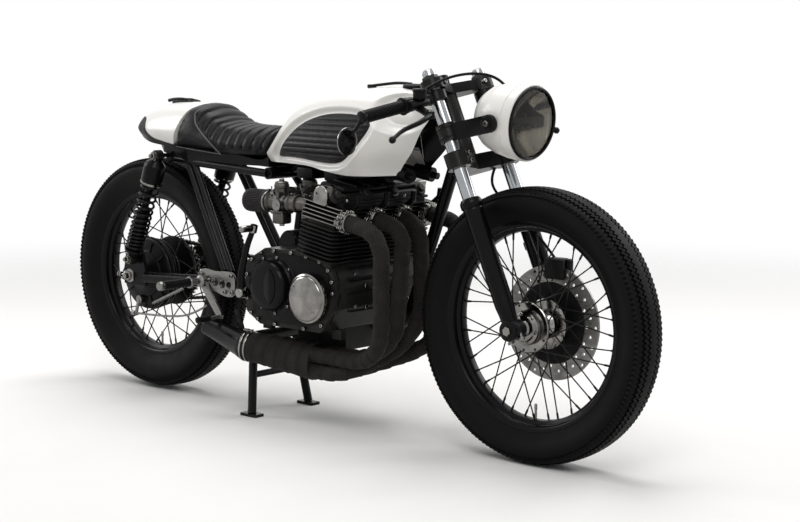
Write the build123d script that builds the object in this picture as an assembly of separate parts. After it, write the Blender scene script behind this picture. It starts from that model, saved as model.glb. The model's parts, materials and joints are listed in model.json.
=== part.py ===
from build123d import *
import math
import os

# Cafe racer motorcycle, standing upright on its centre stand, in millimetres.
# +X points forward, +Y to the rider's left, +Z up.
# The origin is on the floor, midway between the two axles.

# Overall sizes
wheelbase = 1405
tyre_radius = 340
tyre_half_width = 55
stand_lift = 6
rake_deg = 24
fork_offset = 50
fork_half_spacing = 95
overrun = 5
joint_gap = 0.3
running_gap = 5

# Wheels
front_rim_radius = 252
rear_rim_radius = 239
rim_half_width = 33
rim_depth = 24
rim_wall = 5
rim_lip = 8
hub_flange_radius = 62
hub_core_radius = 30
front_hub_half_width = 38
rear_hub_half_width = 50
flange_thickness = 6
axle_radius = 8
axle_clearance = 0.05
spoke_width = 3.6
spoke_count = 32
spoke_lean_deg = 48
disc_radius = 143
disc_inner_radius = 96
disc_thickness = 6
disc_y = 60
disc_spider_radius = 104
disc_spider_thickness = 5
sprocket_bolt_radius = 70
sprocket_thickness = 7
chain_y = 74
chain_width = 14
chain_height = 13
front_sprocket_radius = 34
rear_sprocket_radius = 88
caliper_forward = 12
caliper_bite = 7
caliper_half_length = 34
caliper_inner = 10
caliper_outer = 36
caliper_below = 28
caliper_above = 26
caliper_slot_gap = 1.5
caliper_arm_half_height = 20
caliper_arm_low_run = 110
caliper_arm_high_run = 150
caliper_arm_inset = 18
caliper_arm_thickness = 12
drum_radius = 105
brake_plate_thickness = 8

# Steering and fork
fork_tube_radius = 17.5
slider_radius = 24
slider_foot_radius = 26
slider_foot_half_width = 23
fork_top_run = 676
upper_yoke_run = 633
lower_yoke_run = 436
slider_top_run = 336
yoke_thickness = 26
lower_yoke_thickness = 40
yoke_boss_radius = 29
stem_radius = 14
stem_boss_radius = 30
head_tube_radius = 30
seal_radius = 28
seal_height = 22
bar_radius = 11
bar_clamp_height = 26
bar_clamp_radius = 27
bar_run = 603
bar_drop_deg = 10.4
bar_sweep_deg = 7
bar_length = 236
grip_radius = 16
grip_length = 126
grip_flange_radius = 22
grip_flange_thickness = 5
lever_length = 150
lever_radius = 6
lever_ball_radius = 9
lever_reach = 56
lever_drop = 26
lever_tip_forward = 30
lever_mount_length = 30
mirror_radius = 34
mirror_thickness = 10
mirror_arm_radius = 5
mirror_drop = 60
mirror_back = 52
hose_radius = 3.5
cable_reach = 125
cable_rise = 58
gauge_radius = 24
gauge_height = 28

# Headlight
lamp_x = 672
lamp_z = 832
lamp_radius = 94
lamp_depth = 138
lamp_back_radius = 44
lamp_rim_width = 14
lamp_tilt_deg = 6
lens_radius = 84
lens_bulge = 9
lamp_ear_x = 629
lamp_ear_thickness = 6
lamp_ear_y = 98
lamp_ear_height = 44
lamp_ear_radius = 22
lamp_bracket_run = 508
lamp_bracket_ring_radius = 25

# Frame
tube_radius = 16
thin_tube_radius = 11
backbone_radius = 24
cradle_half_width = 110
neck_half_width = 26
neck_run = 520
downtube_low_x = 192
downtube_low_z = 300
rail_z = 254
rail_front_x = 140
rail_rear_x = -180
upright_bend_x = -258
upright_bend_z = 330
upright_top_x = -187
upright_top_z = 612
brace_rear_x = -240
brace_front_x = -120
seat_rail_half_width = 88
seat_rail_z = 672
seat_rail_rear_rise = 22
seat_rail_rear_x = -580
backbone_run = 585
backbone_rear_x = -150
backbone_rear_rise = 18
shock_top_x = -545
shock_top_rise = 33
shock_half_spacing = 140
shock_low_x = -668
shock_low_z = 400
shock_spring_radius = 28
shock_wire_radius = 5
shock_coils = 9
shock_rod_radius = 8
shock_body_radius = 19
shock_cap_radius = 31
shock_cap_length = 62
shock_eye_radius = 16
shock_eye_width = 24
shock_pin_radius = 6
strut_top_x = -464
strut_low_x = -287
strut_low_z = 395
strut_pitch = 28
strut_radius = 9

# Swingarm
pivot_x = -235
pivot_z = 359
pivot_half_width = 88
pivot_boss_y = 128
pivot_boss_radius = 24
swingarm_front_half_width = 72
swingarm_half_width = 116
swingarm_radius = 17
swingarm_plate_height = 48
swingarm_plate_length = 104
swingarm_plate_thickness = 10
pivot_tube_radius = 21

# Engine
crank_x = 99
crank_z = 366
case_half_width = 165
case_top_rise = 116
case_bottom_drop = 91
case_rear_reach = 255
case_front_reach = 87
case_fillet = 16
sump_bottom_drop = 156
sump_right_y = -44
sump_left_y = 84
sump_rear_reach = 179
sump_front_reach = 1
block_tilt_deg = 10
block_foot = 104
block_height = 98
block_length = 134
block_half_width = 190
fin_count = 8
fin_thickness = 4
fin_depth = 14
head_height = 60
head_fin_count = 3
head_length = 150
head_half_width = 180
cover_height = 40
cam_cap_radius = 24
cam_cap_reach = 20
cover_length = 118
clutch_back = 146
clutch_rise = 20
clutch_radius = 68
clutch_reach = 36
points_radius = 66
points_reach = 42
alternator_radius = 74
alternator_reach = 40
output_back = 259
output_drop = 7
cover_reach_x = 47
cover_reach_z = 66
bore_pitch = 106
intake_rise = 240
carb_front_back = 77
carb_radius = 25
carb_length = 88
carb_bowl_height = 60
carb_bowl_width = 46
pod_radius = 31
pod_length = 82
oil_filter_radius = 36
oil_filter_length = 66
oil_filter_drop = 36

# Exhaust
header_radius = 21
port_rise = 200
header_front_x = 340
port_gap = 3
port_clamp_radius = 30
port_clamp_thickness = 18
pipe_pitch = 42.8
collector_x = 45
collector_y = -100
collector_z = 183
collector_mouth_radius = 50
collector_radius = 40
collector_mid_x = -70
collector_rear_x = -178
collector_rear_y = -152
collector_rear_z = 206
band_radius = 43
band_width = 10
band_place_shares = (0.55, 0.78)
silencer_radius = 38
silencer_tip_radius = 24
silencer_tip_x = -314
silencer_tip_y = -166
silencer_tip_z = 246

# Bodywork
tank_rear_x = -160
tank_front_x = 404
tank_rise = 28
tank_height = 210
tank_half_width = 152
tank_nose_x = 325
tank_nose_rise = 138
tunnel_half_width = 34
tunnel_clearance = 9
panel_recess = 5
panel_depth = 14
waist_share = 0.45
seat_half_width = 118
seat_rise = 42
seat_height = 138
tail_rear_x = -744
tail_rise = 700
seat_split_low_x = -530
seat_split_top_x = -400
tray_half_width = 100
tray_low_rise = 40
tray_front_rise = 18
cap_length = 150
cap_height = 14
cap_width = 44
cap_x = 300
latch_x = -585
latch_length = 118

# Foot controls
peg_x = -336
peg_z = 369
peg_outer_y = 318
peg_radius = 12
peg_root_radius = 8
peg_root_y = 214
rearset_y = 148
rearset_thickness = 8
pedal_toe_x = -262
pedal_toe_z = 276
pedal_toe_y = 250
pedal_thickness = 8

# Kick starter
kick_back = 241
kick_drop = 8
kick_top_back = 189
kick_top_rise = 170
kick_reach = 32
kick_shaft_radius = 9
kick_pedal_length = 50

# Centre stand
stand_pivot_x = -218
stand_pivot_z = 214
stand_half_width = 80
stand_foot_half_width = 110
stand_foot_x = -196
stand_radius = 12
stand_pad_thickness = 8
stand_pad_length = 60
stand_pin_radius = 8
stand_bracket_thickness = 8
stand_bracket_y = 104

# Places worked out from the sizes
front_axle_x = wheelbase / 2
rear_axle_x = -wheelbase / 2
front_axle_z = tyre_radius
rear_axle_z = tyre_radius + stand_lift
rake = math.radians(rake_deg)
axis_up = Vector(-math.sin(rake), 0, math.cos(rake))
axis_forward = Vector(math.cos(rake), 0, math.sin(rake))
front_axle = Vector(front_axle_x, 0, front_axle_z)
rear_axle = Vector(rear_axle_x, 0, rear_axle_z)
left = Vector(0, 1, 0)
seat_rail_rear_z = seat_rail_z + seat_rail_rear_rise
backbone_rear_z = seat_rail_z + backbone_rear_rise
shock_top_z = seat_rail_z + shock_top_rise
tank_bottom_z = seat_rail_z + tank_rise
tank_nose_z = tank_bottom_z + tank_nose_rise
seat_bottom_z = seat_rail_z + seat_rise
tray_low_z = seat_rail_z + tray_low_rise
tray_front_z = seat_rail_z + tray_front_rise
case_top_z = crank_z + case_top_rise
case_bottom_z = crank_z - case_bottom_drop
case_rear_x = crank_x - case_rear_reach
case_front_x = crank_x + case_front_reach
sump_bottom_z = crank_z - sump_bottom_drop
sump_rear_x = crank_x - sump_rear_reach
sump_front_x = crank_x + sump_front_reach
clutch_x = crank_x - clutch_back
clutch_z = crank_z + clutch_rise
output_x = crank_x - output_back
output_z = crank_z - output_drop
intake_z = crank_z + intake_rise
carb_front_x = crank_x - carb_front_back
oil_filter_z = crank_z - oil_filter_drop
port_z = crank_z + port_rise
kick_x = crank_x - kick_back
kick_z = crank_z - kick_drop
kick_top_x = crank_x - kick_top_back
kick_top_z = crank_z + kick_top_rise
solids_of = {}


def fork_point(run, y=0):
    """A point on the fork's line, by its distance up from the axle."""
    return front_axle + axis_up * run + left * y


def axis_point(run, y=0):
    """The point of the steering axis level with that point of the fork."""
    return fork_point(run, y) - axis_forward * fork_offset


def rod(start, end, radius, end_radius=None):
    """A round bar, or a cone, from one point to another."""
    start = Vector(start)
    along = Vector(end) - start
    plane = Plane(origin=start, z_dir=along)
    low = (Align.CENTER, Align.CENTER, Align.MIN)
    if end_radius is None:
        return plane * Cylinder(radius, along.length, align=low)
    return plane * Cone(radius, end_radius, along.length, align=low)


def bent_tube(points, radius, share=0.45):
    """A tube along straight runs joined by arcs, each as large as its two runs allow."""
    points = [Vector(p) for p in points]
    radii = []
    for before, here, after in zip(points, points[1:], points[2:]):
        run_in = here - before
        run_out = after - here
        half_turn = math.radians(run_in.get_angle(run_out)) / 2
        radii.append(share * min(run_in.length, run_out.length) / math.tan(half_turn))
    path = FilletPolyline(*points, radius=radii)
    section = Plane(origin=path @ 0, z_dir=path % 0) * Circle(radius)
    return sweep(section, path=path)


def side_plate(outline, y_low, y_high):
    """A flat plate with an outline of (x, z) points, between two values of y."""
    face = make_face(Polyline(*[Vector(x, y_high, z) for x, z in outline], close=True))
    return extrude(face, amount=y_high - y_low, dir=(0, -1, 0))


def box_between(low, high):
    low = Vector(low)
    size = Vector(high) - low
    return Pos(low.X, low.Y, low.Z) * Box(size.X, size.Y, size.Z, align=(Align.MIN, Align.MIN, Align.MIN))


def disc_about(centre, radius, y_low, y_high):
    return rod((centre[0], y_low, centre[1]), (centre[0], y_high, centre[1]), radius)


def wheel_ring(profile, axle):
    """A body of revolution about a wheel's axle, from (across, radius) points."""
    outline = [Vector(axle.X, across, axle.Z + radius) for across, radius in profile]
    face = make_face(Polyline(*outline, close=True))
    return revolve(face, axis=Axis((axle.X, 0, axle.Z), (0, 1, 0)))


def trimmed(shape, *cutters):
    """A piece cut back by its neighbours, without the off-cuts."""
    for cutter in cutters:
        shape = shape - cutter
    return max(shape.solids(), key=lambda solid: solid.volume)


def keep(name, *shapes):
    """Store the solids of one node, and return them as one shape for later cuts."""
    solids = []
    for shape in shapes:
        solids.extend(shape.solids())
    solids_of[name] = solids
    return Compound(children=list(solids)) if len(solids) > 1 else solids[0]


# Wheels

def tyre(axle, rim_radius):
    height = tyre_radius - rim_radius
    # columns: share of the half width, share of the height above the rim
    outline_shares = [(0.54, 0), (0.66, 0.16), (0.95, 0.42), (1.0, 0.60), (0.90, 0.80), (0.58, 0.95),
                      (0.20, 1.0)]
    half = [(across * tyre_half_width, rim_radius + up * height) for across, up in outline_shares]
    return wheel_ring(half + [(-across, radius) for across, radius in reversed(half)], axle)


def rim(axle, rim_radius):
    lip = rim_radius + rim_lip
    well = rim_radius - rim_depth
    wide = rim_half_width
    narrow = rim_half_width / 2
    profile = [(-wide, lip), (-wide, rim_radius - rim_wall), (-narrow, well - rim_wall),
               (narrow, well - rim_wall), (wide, rim_radius - rim_wall), (wide, lip),
               (wide - rim_wall, rim_radius), (narrow, well), (-narrow, well), (rim_wall - wide, rim_radius)]
    return wheel_ring(profile, axle)


def spokes(axle, rim_radius, half_width):
    foot_radius = hub_flange_radius - flange_thickness
    tip_radius = rim_radius - rim_depth - rim_wall
    made = []
    for index in range(spoke_count):
        side = 1 if index % 2 else -1
        lean = 1 if (index // 2) % 2 else -1
        turn = 2 * math.pi * index / spoke_count
        foot_turn = turn - lean * math.radians(spoke_lean_deg)
        foot = axle + Vector(foot_radius * math.cos(foot_turn), side * (half_width - flange_thickness / 2),
                             foot_radius * math.sin(foot_turn))
        tip = axle + Vector(tip_radius * math.cos(turn), side * flange_thickness, tip_radius * math.sin(turn))
        plane = Plane(origin=foot, z_dir=tip - foot)
        made.append(plane * extrude(Rectangle(spoke_width, spoke_width), amount=(tip - foot).length))
    return made


def hub(axle, rim_radius, half_width):
    flange = flange_thickness
    bore = axle_radius + axle_clearance
    profile = [(-half_width, hub_flange_radius), (flange - half_width, hub_flange_radius),
               (2 * flange - half_width, hub_core_radius), (half_width - 2 * flange, hub_core_radius),
               (half_width - flange, hub_flange_radius), (half_width, hub_flange_radius),
               (half_width, bore), (-half_width, bore)]
    return wheel_ring(profile, axle).fuse(*spokes(axle, rim_radius, half_width))


front_rim = keep("front_rim", rim(front_axle, front_rim_radius))
keep("front_tyre", tyre(front_axle, front_rim_radius) - front_rim)
front_hub = keep("front_hub", hub(front_axle, front_rim_radius, front_hub_half_width) - front_rim)
rear_rim = keep("rear_rim", rim(rear_axle, rear_rim_radius))
keep("rear_tyre", tyre(rear_axle, rear_rim_radius) - rear_rim)

disc_low = disc_y - disc_thickness / 2
disc_high = disc_y + disc_thickness / 2
disc_profile = [(disc_low, disc_radius), (disc_high, disc_radius), (disc_high, disc_inner_radius),
                (disc_low, disc_inner_radius)]
carrier_profile = [(front_hub_half_width, hub_core_radius), (front_hub_half_width, hub_flange_radius),
                   (disc_low - disc_spider_thickness, hub_flange_radius),
                   (disc_low - disc_spider_thickness, disc_spider_radius), (disc_low, disc_spider_radius),
                   (disc_low, hub_core_radius)]
keep("brake_disc", wheel_ring(disc_profile, front_axle) + wheel_ring(carrier_profile, front_axle))

sprocket_low = chain_y - sprocket_thickness / 2
sprocket_high = chain_y + sprocket_thickness / 2
rear_sprocket_profile = [(sprocket_low, axle_radius + axle_clearance),
                         (sprocket_low, rear_sprocket_radius - chain_height / 2 - joint_gap),
                         (sprocket_high, rear_sprocket_radius - chain_height / 2 - joint_gap),
                         (sprocket_high, axle_radius + axle_clearance)]
keep("rear_sprocket", wheel_ring(rear_sprocket_profile, rear_axle))
carrier = wheel_ring([(rear_hub_half_width, axle_radius + axle_clearance),
                      (rear_hub_half_width, sprocket_bolt_radius), (sprocket_low, sprocket_bolt_radius),
                      (sprocket_low, axle_radius + axle_clearance)], rear_axle)
drum = wheel_ring([(-rear_hub_half_width, axle_radius + axle_clearance), (-rear_hub_half_width, drum_radius),
                   (0, drum_radius), (0, axle_radius + axle_clearance)], rear_axle)
rear_hub = hub(rear_axle, rear_rim_radius, rear_hub_half_width) - rear_rim
keep("rear_hub", rear_hub + carrier + drum)

# Steering

def yoke(run, thickness):
    """A yoke plate: three bosses joined by webs, bored for the fork tubes."""
    centre = axis_point(run - thickness / 2)
    plane = Plane(origin=centre, x_dir=axis_forward, z_dir=axis_up)
    bosses = [(fork_offset, fork_half_spacing), (fork_offset, -fork_half_spacing)]
    web = make_hull((Circle(stem_boss_radius) + Pos(*bosses[0]) * Circle(yoke_boss_radius / 2)).edges())
    web = web + make_hull((Circle(stem_boss_radius) + Pos(*bosses[1]) * Circle(yoke_boss_radius / 2)).edges())
    outline = web + Circle(stem_boss_radius)
    for boss in bosses:
        outline = outline + Pos(*boss) * Circle(yoke_boss_radius)
    for boss in bosses:
        outline = outline - Pos(*boss) * Circle(fork_tube_radius)
    return plane * extrude(outline, amount=thickness)


upper_yoke = yoke(upper_yoke_run, yoke_thickness)
lower_yoke = yoke(lower_yoke_run, lower_yoke_thickness)
stem_low_run = lower_yoke_run + lower_yoke_thickness / 2
stem_high_run = upper_yoke_run - yoke_thickness / 2
stem = rod(axis_point(stem_low_run), axis_point(stem_high_run), stem_radius)
yokes = keep("fork_yokes", upper_yoke + lower_yoke + stem)

tubes = []
sliders = []
for side in (-1, 1):
    y = side * fork_half_spacing
    tubes.append(rod(fork_point(slider_top_run, y), fork_point(fork_top_run, y), fork_tube_radius))
    leg = rod(fork_point(0, y), fork_point(slider_top_run - seal_height, y), slider_radius)
    collar = rod(fork_point(slider_top_run - seal_height, y), fork_point(slider_top_run, y), seal_radius)
    foot = rod(fork_point(0, y - slider_foot_half_width), fork_point(0, y + slider_foot_half_width),
               slider_foot_radius)
    sliders.append(leg + collar + foot)
fork_tubes = keep("fork_tubes", *tubes)
axle_rod = rod(fork_point(0, -fork_half_spacing), fork_point(0, fork_half_spacing), axle_radius)
fork_sliders = keep("fork_sliders", sliders[0] + axle_rod + sliders[1])

bar_drop = math.radians(bar_drop_deg)
bar_sweep = math.radians(bar_sweep_deg)


def along_bar(side):
    """The direction of a handlebar, outwards."""
    return Vector(-math.sin(bar_sweep), side * math.cos(bar_sweep) * math.cos(bar_drop), -math.sin(bar_drop))


bars = []
grips = []
levers = []
mirrors = []
for side in (-1, 1):
    out = along_bar(side)
    root = fork_point(bar_run, side * fork_half_spacing)
    clamp = rod(root - axis_up * bar_clamp_height / 2, root + axis_up * bar_clamp_height / 2, bar_clamp_radius)
    clamp_bore = rod(root - axis_up * bar_clamp_height, root + axis_up * bar_clamp_height, fork_tube_radius)
    bar = rod(root, root + out * bar_length, bar_radius)
    bars.append(clamp + bar - clamp_bore)
    grip_start = root + out * (bar_length - grip_length)
    grip = rod(grip_start, root + out * bar_length, grip_radius)
    flange = rod(grip_start, grip_start + out * grip_flange_thickness, grip_flange_radius)
    grips.append(grip + flange - bar)
    mount_start = grip_start - out * lever_mount_length
    mount = rod(mount_start, grip_start - out * grip_flange_thickness, grip_flange_radius)
    pivot = mount_start + Vector(lever_reach, 0, -lever_drop)
    arm = rod(mount_start, pivot, lever_radius)
    tip = pivot + out * lever_length + Vector(lever_tip_forward, 0, -lever_drop)
    blade = rod(pivot, tip, lever_radius)
    ball = Pos(*tip) * Sphere(lever_ball_radius)
    levers.append((mount + arm + blade + ball) - bar)
    bar_end = root + out * bar_length
    cap_end = bar_end + out * mirror_thickness
    glass = bar_end + Vector(-mirror_back, 0, -mirror_drop)
    cap = rod(bar_end, cap_end, grip_radius)
    stalk = rod(bar_end + out * mirror_thickness / 2, glass, mirror_arm_radius)
    dish = rod(glass - Vector(mirror_thickness / 2, 0, 0), glass + Vector(mirror_thickness / 2, 0, 0),
               mirror_radius)
    mirrors.append(cap + stalk + dish - grip)
clip_ons = keep("clip_on_bars", *bars)
keep("hand_grips", *grips)
control_levers = keep("control_levers", *levers)
keep("bar_end_mirrors", *mirrors)

gauge_base = axis_point(upper_yoke_run + yoke_thickness / 2)
keep("instrument", rod(gauge_base, gauge_base + axis_up * gauge_height, gauge_radius))

# Headlight
lamp_tilt = math.radians(lamp_tilt_deg)
lamp_forward = Vector(math.cos(lamp_tilt), 0, -math.sin(lamp_tilt))
lamp_centre = Vector(lamp_x, 0, lamp_z)
lamp_plane = Plane(origin=lamp_centre, x_dir=lamp_forward, z_dir=(0, 1, 0))
lens_edge = lamp_rim_width
shell_outline = Polyline((0, 0), (0, lens_radius), (lens_edge, lens_radius), (lens_edge, lamp_radius),
                         (-lamp_depth / 3, lamp_radius)) + \
    RadiusArc((-lamp_depth / 3, lamp_radius), (-lamp_depth, lamp_back_radius), -lamp_depth) + \
    Polyline((-lamp_depth, lamp_back_radius), (-lamp_depth, 0), (0, 0))
shell_face = make_face(shell_outline)
shell_axis = Axis(lamp_centre, lamp_forward)
headlight_shell = keep("headlight_shell", revolve(lamp_plane * shell_face, axis=shell_axis))
lens_ball_radius = (lens_radius ** 2 + lens_bulge ** 2) / (2 * lens_bulge)
lens_body = rod(lamp_centre, lamp_centre + lamp_forward * (lens_edge + lens_bulge), lens_radius - joint_gap)
lens_ball = Pos(*(lamp_centre + lamp_forward * (lens_edge + lens_bulge - lens_ball_radius))) * \
    Sphere(lens_ball_radius)
keep("headlight_lens", lens_body & lens_ball)

brackets = []
for side in (-1, 1):
    root = fork_point(lamp_bracket_run, side * fork_half_spacing)
    half = lamp_ear_height / 2
    y_in = min(side * lamp_ear_y, side * (lamp_ear_y + lamp_ear_thickness))
    y_out = max(side * lamp_ear_y, side * (lamp_ear_y + lamp_ear_thickness))
    outline = [(root.X, root.Z - half), (lamp_ear_x, lamp_z - lamp_ear_radius),
               (lamp_ear_x, lamp_z + lamp_ear_radius), (root.X, root.Z + half)]
    plate = side_plate(outline, y_in, y_out) + disc_about((lamp_ear_x, lamp_z), lamp_ear_radius, y_in, y_out)
    collar = rod(root - axis_up * half, root + axis_up * half, lamp_bracket_ring_radius)
    bore = rod(root - axis_up * lamp_ear_height, root + axis_up * lamp_ear_height, fork_tube_radius)
    bolt = disc_about((lamp_ear_x, lamp_z), axle_radius, min(side * lamp_back_radius, side * lamp_ear_y),
                      max(side * lamp_back_radius, side * lamp_ear_y))
    brackets.append(plate + collar - bore + (bolt - headlight_shell))
keep("headlight_brackets", *brackets)

# Front brake
caliper_x = front_axle_x + caliper_forward
caliper_z = front_axle_z + disc_radius - caliper_bite
caliper_rear_x = caliper_x - caliper_half_length
caliper_low = (caliper_rear_x, disc_low - caliper_inner, caliper_z - caliper_below)
caliper_high = (caliper_x + caliper_half_length, disc_high + caliper_outer, caliper_z + caliper_above)
caliper_block = box_between(caliper_low, caliper_high)
slot = disc_about((front_axle_x, front_axle_z), disc_radius + running_gap, disc_low - caliper_slot_gap,
                  disc_high + caliper_slot_gap)
arm_high = fork_point(caliper_arm_high_run)
arm_low = fork_point(caliper_arm_low_run)
arm_outline = [(caliper_rear_x, caliper_z - caliper_arm_half_height),
               (caliper_rear_x, caliper_z + caliper_arm_half_height),
               (arm_high.X, arm_high.Z + caliper_arm_half_height), (arm_low.X, arm_low.Z)]
arm_start_y = disc_high + caliper_arm_inset
caliper_arm = side_plate(arm_outline, arm_start_y, arm_start_y + caliper_arm_thickness)
caliper = keep("brake_caliper", caliper_block - slot + caliper_arm - fork_sliders)

# Brake hose and throttle cable, each held at both its ends
# columns: shares of the line from lower yoke to caliper, along and down, then its place across
hose_route_shares = [(0, 0, 0.76), (-0.13, 0.16, 0.69), (-0.06, 0.33, 0.66), (0.28, 0.46, 0.67),
                     (0.69, 0.72, 0.72), (1, 1, 0.86)]
hose_high = fork_point(lower_yoke_run)
hose_reach = caliper_x - hose_high.X
hose_fall = hose_high.Z - caliper_z
hose_route = [(hose_high.X + along * hose_reach, across * fork_half_spacing, hose_high.Z - down * hose_fall)
              for along, down, across in hose_route_shares]
brake_hose = bent_tube(hose_route, hose_radius) - yokes - caliper
keep("brake_hose", max(brake_hose.solids(), key=lambda solid: solid.volume))
# columns: shares of the reach from fork to lamp, of the half spacing across, and of the rise over the bar
cable_route_shares = [(0.02, -1.88, 0.05), (0.18, -1.4, 0.62), (0.40, -0.65, 1.0), (0.68, 0, 1.0),
                      (0.90, 0.40, 0.55), (1.04, 0.52, -0.12)]
cable_root = fork_point(bar_run)
cable_route = [(cable_root.X + along * cable_reach, across * fork_half_spacing, cable_root.Z + up * cable_rise)
               for along, across, up in cable_route_shares]
throttle_cable = bent_tube(cable_route, hose_radius) - headlight_shell - control_levers - clip_ons
keep("throttle_cable", max(throttle_cable.solids(), key=lambda solid: solid.volume))

# Frame
head_low_run = stem_low_run + joint_gap
head_high_run = stem_high_run - joint_gap
head_tube = rod(axis_point(head_low_run), axis_point(head_high_run), head_tube_radius)
head_bore = rod(axis_point(head_low_run - overrun), axis_point(head_high_run + overrun),
                stem_radius + axle_clearance)
backbone_front = axis_point(backbone_run)
backbone_rear = Vector(backbone_rear_x, 0, backbone_rear_z)
backbone = rod(backbone_front, backbone_rear, backbone_radius)
cross = rod((backbone_rear_x, -seat_rail_half_width, seat_rail_z), (backbone_rear_x, seat_rail_half_width,
            seat_rail_z), tube_radius)
seat_rails = []
for side in (-1, 1):
    y = side * seat_rail_half_width
    rail_end = (shock_top_x, y, seat_rail_rear_z)
    seat_rails.append(rod((backbone_rear_x, y, seat_rail_z), rail_end, thin_tube_radius))
    seat_rails.append(rod((shock_top_x, side * (seat_rail_half_width - overrun), shock_top_z),
                          (shock_top_x, side * (shock_half_spacing + shock_eye_width), shock_top_z),
                          shock_pin_radius))
    lug_height = shock_top_z - seat_rail_rear_z + 2 * thin_tube_radius
    seat_rails.append(Pos(shock_top_x, y, (seat_rail_rear_z + shock_top_z) / 2) *
                      Box(thin_tube_radius * 2, thin_tube_radius * 2, lug_height))
tail_cross = rod((shock_top_x, -seat_rail_half_width, seat_rail_rear_z),
                 (shock_top_x, seat_rail_half_width, seat_rail_rear_z), thin_tube_radius)
spine = (head_tube + backbone - head_bore) + cross + tail_cross
for piece in seat_rails:
    spine = spine + piece
spine = keep("frame_spine", spine)

swing_pin = disc_about((pivot_x, pivot_z), axle_radius, -pivot_boss_y, pivot_boss_y)
stand_pin = disc_about((stand_pivot_x, stand_pivot_z), stand_pin_radius, -stand_bracket_y, stand_bracket_y)
stand_bracket_outline = [(stand_pivot_x - 2 * stand_pin_radius, stand_pivot_z - 2 * stand_pin_radius),
                         (stand_pivot_x + 2 * stand_pin_radius, stand_pivot_z - 2 * stand_pin_radius),
                         (rail_rear_x - tube_radius, rail_z),
                         (stand_pivot_x - tube_radius, rail_z + 2 * tube_radius)]
cradles = []
for side in (-1, 1):
    neck = axis_point(neck_run, side * neck_half_width)
    y = side * cradle_half_width
    path = [neck, (downtube_low_x, y, downtube_low_z), (rail_front_x, y, rail_z), (rail_rear_x, y, rail_z),
            (upright_bend_x, y, upright_bend_z), (upright_top_x, side * seat_rail_half_width, upright_top_z)]
    loop = bent_tube(path, tube_radius)
    top = Vector(upright_top_x, side * seat_rail_half_width, upright_top_z)
    brace_rear = rod(top, (brace_rear_x, side * seat_rail_half_width, seat_rail_z), thin_tube_radius)
    brace_front = rod(top, (brace_front_x, side * seat_rail_half_width / 2, backbone_rear_z), thin_tube_radius)
    knuckle = Pos(*top) * Sphere(tube_radius)
    bracket = side_plate(stand_bracket_outline, min(side * stand_bracket_y, side * (stand_bracket_y -
                         stand_bracket_thickness)), max(side * stand_bracket_y, side * (stand_bracket_y -
                         stand_bracket_thickness)))
    boss = disc_about((pivot_x, pivot_z), pivot_boss_radius, min(side * pivot_half_width, side * pivot_boss_y),
                      max(side * pivot_half_width, side * pivot_boss_y))
    body = loop + brace_rear + brace_front + knuckle + bracket + boss
    cradles.append(trimmed(body, spine, head_bore, swing_pin, stand_pin))
frame_cradles = keep("frame_cradles", *cradles)

struts = []
for side in (-1, 1):
    for shift in (-strut_pitch / 2, strut_pitch / 2):
        struts.append(rod((strut_top_x + shift, side * seat_rail_half_width, seat_rail_rear_z),
                          (strut_low_x + shift, side * cradle_half_width, strut_low_z), strut_radius))
rear_struts = keep("rear_struts", *[trimmed(s, spine, frame_cradles) for s in struts])


# Swingarm and rear suspension

swing = disc_about((pivot_x, pivot_z), pivot_tube_radius, -pivot_half_width + joint_gap,
                   pivot_half_width - joint_gap) + swing_pin
plate_front_x = rear_axle_x + swingarm_plate_length * 2 / 3
swing_brace_x = pivot_x - swingarm_plate_length / 2
for side in (-1, 1):
    beam_end = (plate_front_x, side * swingarm_half_width, rear_axle_z)
    swing = swing + rod((pivot_x, side * swingarm_front_half_width, pivot_z), beam_end, swingarm_radius)
    plate_low = side * swingarm_half_width - swingarm_plate_thickness / 2
    plate_high = side * swingarm_half_width + swingarm_plate_thickness / 2
    half = swingarm_plate_height / 2
    outline = [(rear_axle_x - half, rear_axle_z - half), (plate_front_x, rear_axle_z - half),
               (plate_front_x, rear_axle_z + half), (shock_low_x + half, shock_low_z + shock_eye_radius),
               (shock_low_x - half / 2, shock_low_z + shock_eye_radius),
               (rear_axle_x - half, rear_axle_z + half)]
    swing = swing + side_plate(outline, plate_low, plate_high)
    stud_end = side * (shock_half_spacing + shock_eye_width)
    swing = swing + disc_about((shock_low_x, shock_low_z), shock_pin_radius, min(plate_low, stud_end),
                               max(plate_high, stud_end))
swing_brace = rod((swing_brace_x, -swingarm_front_half_width, pivot_z),
                  (swing_brace_x, swingarm_front_half_width, pivot_z), swingarm_radius - overrun)
rear_spindle = disc_about((rear_axle_x, rear_axle_z), axle_radius, -shock_half_spacing, shock_half_spacing)
swingarm = keep("swingarm", swing + swing_brace + rear_spindle - frame_cradles)

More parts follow.
